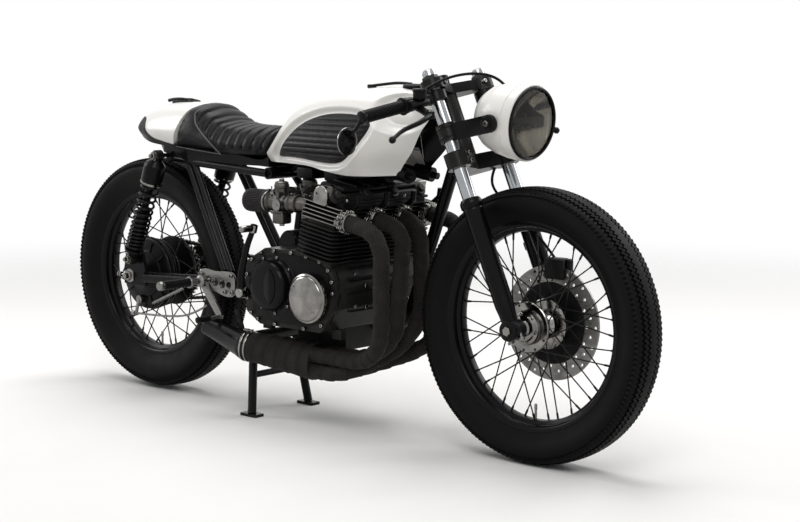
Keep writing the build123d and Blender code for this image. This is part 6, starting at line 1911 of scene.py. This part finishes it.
class MOTORCYCLE_OT_rear_suspension(Operator):
    """Makes the shock absorbers and the swingarm's bolts and adjusters"""
    bl_idname = "motorcycle.rear_suspension"
    bl_label = "Rear suspension"

    def execute(self, context):
        sizes = context.scene.motorcycle_sizes
        springs, bodies, bright = [], [], []
        for side in (-1, 1):
            top = mm(-545, side * 140, 705)
            low = mm(-668, side * 140, 400)
            down = (low - top).normalized()
            length = (low - top).length / MM
            cover = [(0, 6), (13, 6), (15, 12), (19, 18), (28, 26), (31, 34), (31, 74), (30, 78),
                     (26, 80), (0, 80)]
            bodies.append(lathed("shock_cover", cover, top, down, 40))
            case = [(0, 70), (11, 70), (11, 170), (19, 172), (19, length - 34), (27, length - 32),
                    (28, length - 27), (24, length - 24), (17, length - 16), (13, length - 8),
                    (0, length - 8)]
            bodies.append(lathed("shock_case", case, top, down, 36))
            ring = [(26, 80), (30.5, 80), (31, 82), (31, 86), (29, 88), (26, 88)]
            bright.append(lathed("shock_ring", ring, top, down, 40))
            springs.append(coil("spring", top + down * (length - 34) * MM, top + down * 88 * MM, 24.4 * MM,
                                sizes.spring_wire, sizes.spring_turns, -0.5))
            for spot in (top, low):
                eye = [(0, -12), (14, -12), (16, -10), (16, 10), (14, 12), (0, 12)]
                bodies.append(lathed("shock_eye", eye, spot, Y, 28))
                bright.append(hexagon("shock_nut", spot + Y * side * 14 * MM, Y * side, 11 * MM, 9 * MM))
                washer = [(0, 0), (13, 0), (13, 2.5), (0, 2.5)]
                bright.append(lathed("shock_washer", washer, spot + Y * side * 12 * MM, Y * side, 28))
                bright.append(rod("shock_stud", spot + Y * side * 22 * MM,
                                  spot + Y * side * 30 * MM, 5 * MM, 14))
            axle_end = rear_axle + Y * side * 121 * MM
            bright.append(hexagon("rear_axle_nut", axle_end, Y * side, 15 * MM, 12 * MM))
            bright.append(lathed("rear_axle_washer", ((0, -1), (20, -1), (20, 3), (0, 3)),
                                 axle_end - Y * side * 2 * MM, Y * side, 32))
            bright.append(rod("axle_stud", axle_end + Y * side * 12 * MM,
                              axle_end + Y * side * 20 * MM, 8 * MM, 18))
            screw = rear_axle + Vector((-18 * MM, side * 116 * MM, 0))
            bright.append(rod("adjuster", screw, screw - X * 36 * MM, 4 * MM, 12))
            for reach in (-24, -33):
                bright.append(hexagon("adjuster_nut", screw + X * reach * MM, -X, 8 * MM, 6 * MM))
            bright.append(block("adjuster_block", rear_axle + mm(-20, side * 122 - 3, -15),
                                rear_axle + mm(20, side * 122 + 3, 15), 2 * MM))
        settled(joined("wound_springs", *springs), "chassis", "black_paint", "satin_powder_coat",
                "shock_springs", angle=60)
        settled(joined("shock_absorbers", *bodies), "chassis", "engine_black", "satin_powder_coat",
                "shock_bodies")
        settled(joined("rear_fasteners", *bright), "chassis", "polished_metal", "polished_aluminium")
        return {"FINISHED"}


# Controls

bar_drop = math.radians(10.4)
bar_sweep = math.radians(7)


def bar_out(side):
    """The direction of a clip-on bar, outwards."""
    return Vector((-math.sin(bar_sweep), side * math.cos(bar_sweep) * math.cos(bar_drop),
                   -math.sin(bar_drop)))


def cord(name, node, points):
    """A held cable that follows the route of its solid, in metres."""
    line = bpy.data.curves.new(name, "CURVE")
    line.dimensions = "3D"
    spline = line.splines.new("NURBS")
    spline.points.add(len(points) - 1)
    for point, spot in zip(spline.points, points):
        point.co = (*spot, 1)
    spline.order_u = 3
    spline.use_endpoint_u = True
    spline.resolution_u = 12
    line.bevel_depth = 3.5 * MM
    line.bevel_resolution = 4
    line.use_fill_caps = True
    made = bpy.data.objects.new(name, line)
    bpy.context.collection.objects.link(made)
    line.materials.append(made_materials["moulded_rubber"])
    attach(made, "steering")
    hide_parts(node)
    return made


class MOTORCYCLE_OT_cables(Operator):
    """Lays the brake hose and the throttle cable along the routes of their solids"""
    bl_idname = "motorcycle.cables"
    bl_label = "Cables"

    def execute(self, context):
        cord("laid_brake_hose", "brake_hose", ((0.5252, 0.0722, 0.7383), (0.5006, 0.0656, 0.6963),
                                               (0.5138, 0.0627, 0.6518), (0.5782, 0.0637, 0.6177),
                                               (0.6558, 0.0684, 0.5495), (0.7145, 0.0817, 0.4760)))
        cord("laid_throttle_cable", "throttle_cable",
             ((0.4597, -0.1786, 0.8938), (0.4797, -0.1330, 0.9268), (0.5072, -0.0618, 0.9489),
              (0.5422, 0.0, 0.9489), (0.5697, 0.0380, 0.9228), (0.5872, 0.0494, 0.8839)))
        return {"FINISHED"}


class MOTORCYCLE_OT_controls(Operator):
    """Makes the clip-on bars, grips, housings, levers and mirrors"""
    bl_idname = "motorcycle.controls"
    bl_label = "Hand controls"

    def execute(self, context):
        grips, dark, levers, mirrors, bright, glass = [], [], [], [], [], []
        for side in (-1, 1):
            out = bar_out(side)
            root = fork_point(603 * MM, side * fork_half_spacing)
            dark.append(rod("bar_tube", root + out * 20 * MM, root + out * 238 * MM, 11 * MM, 28))
            clamp = [(18, -13), (25, -13), (27, -11), (27, 11), (25, 13), (18, 13)]
            dark.append(lathed("bar_clamp", clamp, root, fork_up, 40))
            boss = lathed("clamp_boss", ((0, 18), (15, 18), (15, 40), (13, 43), (0, 43)), root, out, 28)
            dark.append(boss)
            pinch = root - fork_forward * 26 * MM
            bright.append(socket_bolt("clamp_bolt", pinch, -fork_forward, 5 * MM, 5 * MM))
            spot, end = root + out * 112 * MM, root + out * 234 * MM
            grips.append(knurled("ribbed_grip", spot, end, 16 * MM, 15, 1.6 * MM))
            flange = [(11, 0), (20, 0), (22, 1.5), (22, 3.5), (20, 5), (11, 5)]
            grips.append(lathed("grip_flange", flange, root + out * 110 * MM, out, 36))
            housing = [(0, 80), (15, 80), (18, 83), (18, 96), (19.5, 98), (19.5, 107),
                       (17.5, 109), (0, 109)]
            dark.append(lathed("switch_housing", housing, root, out, 32))
            mount = root + out * 80 * MM
            pivot = mount + mm(56, 0, -26)
            perch = tube("lever_perch", (mount + out * 8 * MM, mount + mm(22, 0, -8), pivot), 9 * MM, 16)
            dark.append(perch)
            dark.append(lathed("pivot_boss", ((0, -9), (12, -9), (12, 9), (0, 9)), pivot, Z, 28))
            bright.append(hexagon("pivot_bolt", pivot + Z * 9 * MM, Z, 6 * MM, 5 * MM))
            tip = pivot + out * 150 * MM + mm(30, 0, -26)
            bend = pivot + out * 50 * MM + mm(26, 0, -4)
            low_bend = pivot + out * 106 * MM + mm(16, 0, -14)
            line, places = filleted([pivot, bend, low_bend, tip], 0.45, 4 * MM)
            total = places[-1]

            def lever_radii(place, turns):
                radius = (9 - 3 * math.sin(math.pi * min(1.0, place / total * 1.05) / 2)) * MM
                return radius * (1 + 0.22 * np.cos(2 * turns))

            levers.append(swept("lever", line, places, lever_radii, 14))
            ball = [(0, -9), (4, -8), (7.5, -5), (9, 0), (7.5, 5), (4, 8), (0, 9)]
            levers.append(lathed("lever_ball", ball, tip, tip - low_bend, 20))
            start = mount + out * 6 * MM + mm(26, 0, 2)
            if side < 0:
                cylinder = [(0, 0), (9, 0), (11, 3), (11, 44), (13, 46), (13, 58), (11, 60), (0, 60)]
                dark.append(lathed("master_cylinder", cylinder, start - out * 30 * MM, out, 28))
                pot = [(0, 0), (10, 0), (15, 6), (17, 8), (17, 24), (18.5, 25), (18.5, 30),
                       (16, 32), (0, 32)]
                dark.append(lathed("fluid_pot", pot, start - out * 4 * MM + Z * 4 * MM, Z, 36))
            bar_end = root + out * 236 * MM
            cap = [(0, -4), (14, -4), (16, 0), (16, 8), (13, 10), (0, 10)]
            mirrors.append(lathed("bar_end_cap", cap, bar_end, out, 28))
            mirror = bar_end + mm(-52, 0, -60)
            stalk = tube("mirror_stalk", (bar_end + out * 5 * MM, bar_end + mm(-16, side * 4, -30),
                                          mirror + mm(4, 0, 14)), 5 * MM, 12)
            mirrors.append(stalk)
            dish = [(0, 6), (16, 5.4), (27, 3), (32.6, -1), (33.4, -3), (32.6, -4.5), (30, -4), (0, -4)]
            mirrors.append(lathed("mirror_dish", dish, mirror, X, 40))
            glass.append(lathed("mirror_pane", ((0, -4.4), (30, -4.4), (30, -3), (0, -3)), mirror, X, 40))
            rim = [(32.4, -3.6), (33.8, -3.2), (34, -1.5), (33.4, -0.4), (32.4, -1.5)]
            bright.append(lathed("mirror_rim", rim, mirror, X, 48))
        settled(joined("ribbed_grips", *grips), "steering", "rubber", "moulded_rubber",
                "hand_grips", angle=50)
        settled(joined("clip_on_castings", *dark), "steering", "engine_black", "satin_powder_coat",
                "clip_on_bars")
        settled(joined("blade_levers", *levers), "steering", "engine_black", "satin_powder_coat",
                "control_levers", angle=60)
        settled(joined("bar_end_castings", *mirrors), "steering", "engine_black", "satin_powder_coat",
                "bar_end_mirrors")
        settled(joined("control_fasteners", *bright), "steering", "bare_metal", "polished_aluminium")
        settled(joined("mirror_panes", *glass), "steering", "polished_metal", "mirror_glass")
        return {"FINISHED"}


def round_sprocket(centre, radius, turn):
    """A place on a sprocket's pitch circle, and the way the chain runs there."""
    return (centre + Vector((math.cos(turn), 0, math.sin(turn))) * radius,
            Vector((math.sin(turn), 0, -math.cos(turn))))


class MOTORCYCLE_OT_chain(Operator):
    """Makes the drive chain link by link round both sprockets"""
    bl_idname = "motorcycle.chain"
    bl_label = "Drive chain"

    def execute(self, context):
        pitch = context.scene.motorcycle_sizes.chain_pitch
        front = mm(-160, 74, 359)
        rear = Vector((rear_axle.x, 74 * MM, rear_axle.z))
        front_radius, rear_radius = 34 * MM, 88 * MM
        run = front - rear
        heading = math.atan2(run.z, run.x)
        lean = math.asin((rear_radius - front_radius) / run.length)
        straight = run.length * math.cos(lean)
        wraps = (math.pi - 2 * lean) * front_radius, (math.pi + 2 * lean) * rear_radius
        total = 2 * straight + sum(wraps)
        count = 2 * round(total / pitch / 2)
        top_turn, low_turn = heading + math.pi / 2 - lean, heading - math.pi / 2 + lean
        spots = []
        for index in range(count):
            at = total * index / count
            if at < straight:
                base, along = round_sprocket(rear, rear_radius, top_turn)
                spots.append((base + along * at, along))
                continue
            at -= straight
            if at < wraps[0]:
                spots.append(round_sprocket(front, front_radius, top_turn - at / front_radius))
                continue
            at -= wraps[0]
            if at < straight:
                base, along = round_sprocket(front, front_radius, low_turn)
                spots.append((base + along * at, along))
                continue
            at -= straight
            spots.append(round_sprocket(rear, rear_radius, low_turn - at / rear_radius))
        waist = arc_points((0, 0), 6 * MM, 120, 240, 6) + arc_points((pitch, 0), 6 * MM, -60, 60, 6)
        waist = waist[:6] + [(pitch / 2, -4.2 * MM)] + waist[6:] + [(pitch / 2, 4.2 * MM)]
        links = []
        for first, height, thick in ((0, 4.0, 1.6), (1, 5.7, 1.6)):
            plates = [placed(plate("link", waist, thick * MM), (0, 0, side * height * MM - thick * MM / 2),
                             Z, X) for side in (-1, 1)]
            for x in (0, pitch):
                radius = 5 * MM if first == 0 else 2.6 * MM
                half = 3.4 * MM if first == 0 else 7 * MM
                plates.append(rod("roller", (x, 0, -half), (x, 0, half), radius, 10))
            links.append(repeated("links", joined("link", *plates),
                                  [aimed(spot, Y, along) for spot, along in spots[first::2]]))
        settled(joined("roller_chain", *links), "chassis", "chain_steel", "oiled_steel", "drive_chain")
        return {"FINISHED"}


class MOTORCYCLE_OT_foot_controls(Operator):
    """Makes the footrests, their machined plates, the pedals, kick starter and rear brake panel"""
    bl_idname = "motorcycle.foot_controls"
    bl_label = "Foot controls"

    def execute(self, context):
        plates, pegs, tips = [], [], []
        outline = rounded_outline(((-360, 352), (-358, 396), (-330, 405), (-290, 398), (-232, 404),
                                   (-212, 392), (-210, 352), (-226, 330), (-262, 334), (-300, 345),
                                   (-336, 340)), 2)
        slots = (((-318, 372), 11), ((-290, 369), 12), ((-262, 366), 12), ((-236, 365), 10))
        for side in (-1, 1):
            carrier = side_plate("rear_set", [tuple(spot * MM) for spot in outline], side * 148 * MM,
                                 side * 156 * MM, 1.2 * MM)
            holes = [rod("hole", mm(x, side * 140, z), mm(x, side * 164, z), radius * MM, 24)
                     for (x, z), radius in slots]
            plates.append(drilled(carrier, *holes))
            for x, z in ((-346, 388), (-224, 392), (-222, 346), (-250, 345)):
                plates.append(socket_bolt("plate_bolt", mm(x, side * 156, z), Y * side, 6 * MM, 6 * MM))
            foot = mm(-336, 0, 369)
            collar = [(0, 148), (16, 148), (17, 158), (17, 172), (13, 176), (9, 178), (8.5, 200), (14, 204),
                      (16, 206), (16, 212), (14, 214), (0, 214)]
            plates.append(lathed("peg_collar", collar, foot, Y * side, 32))
            pegs.append(knurled("peg", foot + Y * side * 214 * MM, foot + Y * side * 308 * MM, 12 * MM,
                                14, 1.1 * MM))
            ring = [(0, 306), (12.6, 306), (13, 308), (13, 314), (11.5, 318), (0, 318)]
            plates.append(lathed("peg_end", ring, foot, Y * side, 28))
        settled(joined("rear_set_plates", *plates), "chassis", "bare_metal", "bare_aluminium", "footrests")
        settled(joined("knurled_pegs", *pegs), "chassis", "bare_metal", "satin_powder_coat", angle=50)
        for side, node in ((-1, "brake_pedal"), (1, "gear_lever")):
            spine = [(-352, 374), (-344, 386), (-330, 384), (-318, 366), (-292, 330), (-258, 290),
                     (-254, 276), (-262, 268), (-272, 272), (-300, 304), (-330, 340), (-348, 360)]
            arm = side_plate("pedal_arm", [tuple(spot * MM) for spot in rounded_outline(spine, 1)],
                             side * 158 * MM, side * 166 * MM, 1.5 * MM)
            toe = mm(-262, 0, 276)
            shank = rod("toe_shank", toe + Y * side * 160 * MM, toe + Y * side * 206 * MM, 6 * MM, 18)
            settled(joined(f"{node}_arm", arm, shank), "chassis", "bare_metal", "bare_aluminium", node)
            tips.append(knurled("toe_peg", toe + Y * side * 204 * MM, toe + Y * side * 249 * MM,
                                8.5 * MM, 8, 1 * MM))
        settled(joined("toe_pegs", *tips), "chassis", "bare_metal", "satin_powder_coat", angle=50)
        self.kick_starter()
        self.brake_panel()
        return {"FINISHED"}

    def kick_starter(self):
        """The kick starter's bent arm, its boss, hinge and pedal."""
        foot, top = mm(-142, -197, 358), mm(-90, -197, 536)
        line, places = filleted([foot, foot.lerp(top, 0.3) + mm(-8, -6, 0),
                                 foot.lerp(top, 0.75) + mm(-6, -6, 0), top], 0.4, 6 * MM)
        total = places[-1]

        def arm_radii(place, turns):
            return (8.6 - 2.4 * place / total) * MM * (1 + 0.2 * np.cos(2 * turns))

        arm = swept("kick_arm", line, places, arm_radii, 18)
        settled(arm, "chassis", "bare_metal", "satin_powder_coat", "kick_starter", angle=60)
        joint = [(0, -22), (12, -22), (14, -19), (14, 4), (12, 7), (0, 7)]
        pieces = [lathed("kick_boss", joint, foot - Y * 3 * MM, -Y, 28),
                  rod("kick_shaft", foot + Y * 34 * MM, foot, 9 * MM, 24),
                  hexagon("kick_bolt", foot + mm(10, 6, 12), X, 6 * MM, 6 * MM),
                  lathed("kick_hinge", ((0, -12), (9, -12), (10, -9), (10, 9), (0, 12)), top,
                         top - foot, 24)]
        pedal = [(0, 0), (6, 0), (6, 8), (9, 10), (9, 44), (7, 47), (0, 48)]
        pieces.append(lathed("kick_pedal", pedal, top, -Y, 24))
        settled(joined("kick_fittings", *pieces), "chassis", "bare_metal", "polished_aluminium")

    def brake_panel(self):
        """The drum's cover, with its ribs, cam lever, rod and stay."""
        panel = [(10, 50.3), (104, 50.3), (105, 52), (105, 56), (101, 58.3), (92, 58.3), (88, 60),
                 (70, 60.5), (66, 64), (42, 66), (36, 70), (34, 84), (24, 88), (20, 108), (10, 110)]
        cover = lathed("drum_cover", panel, rear_axle, -Y, 72)
        ribs = []
        rib_count = 10
        for index in range(rib_count):
            turn = 2 * math.pi * index / rib_count
            rib = block("cover_rib", mm(36, -2, 60), mm(98, 2, 64), 1 * MM)
            ribs.append(placed(rib, rear_axle, -Y, Vector((math.cos(turn), 0, math.sin(turn)))))
        settled(joined("drum_cover", cover, *ribs), "chassis", "black_paint", "cast_engine_paint",
                "rear_brake_panel")
        cam = rear_axle + mm(-18, -66, -78)
        end = cam + mm(-12, -8, -42)
        lever = tube("cam_lever", (cam - Y * 6 * MM, cam + mm(-4, -10, -18), end), 5 * MM, 12)
        pull = tube("brake_rod", (end, mm(-560, -84, 232), mm(-420, -120, 262), mm(-330, -150, 300)),
                    3 * MM, 10)
        boss = lathed("cam_boss", ((0, 0), (12, 0), (12, 14), (0, 14)), cam + Y * 6 * MM, -Y, 24)
        knob = hexagon("rod_nut", end - X * 4 * MM, -X, 8 * MM, 14 * MM)
        stay = tube("brake_stay", (rear_axle + mm(40, -66, -84), mm(-560, -90, 300), mm(-480, -104, 330)),
                    5 * MM, 12)
        settled(joined("rear_brake_linkage", lever, pull, boss, knob, stay), "chassis", "bare_metal",
                "bare_aluminium")


OPERATORS = (MOTORCYCLE_OT_stage, MOTORCYCLE_OT_finishes, MOTORCYCLE_OT_wheels, MOTORCYCLE_OT_tank,
             MOTORCYCLE_OT_seat, MOTORCYCLE_OT_headlight, MOTORCYCLE_OT_engine, MOTORCYCLE_OT_intake,
             MOTORCYCLE_OT_exhaust, MOTORCYCLE_OT_fork, MOTORCYCLE_OT_rear_suspension, MOTORCYCLE_OT_cables,
             MOTORCYCLE_OT_controls, MOTORCYCLE_OT_chain, MOTORCYCLE_OT_foot_controls)


class MOTORCYCLE_PT_panel(Panel):
    """Lists the steps that dress the motorcycle"""
    bl_idname = "MOTORCYCLE_PT_panel"
    bl_label = "Cafe racer motorcycle"
    bl_space_type = "VIEW_3D"
    bl_region_type = "UI"
    bl_category = "Motorcycle"

    def draw(self, context):
        for group in (context.scene.motorcycle_sizes, context.scene.motorcycle_colours):
            for name in group.__annotations__:
                self.layout.prop(group, name)
        for operator in OPERATORS:
            self.layout.operator(operator.bl_idname)


CLASSES = (MotorcycleSizes, MotorcycleColours, *OPERATORS, MOTORCYCLE_PT_panel)


def register():
    for item in CLASSES:
        bpy.utils.register_class(item)
    bpy.types.Scene.motorcycle_sizes = PointerProperty(type=MotorcycleSizes)
    bpy.types.Scene.motorcycle_colours = PointerProperty(type=MotorcycleColours)


def unregister():
    del bpy.types.Scene.motorcycle_colours
    del bpy.types.Scene.motorcycle_sizes
    for item in reversed(CLASSES):
        bpy.utils.unregister_class(item)


def main():
    register()
    for operator in OPERATORS:
        group, step = operator.bl_idname.split(".")
        getattr(getattr(bpy.ops, group), step)()


if __name__ == "__main__":
    main()
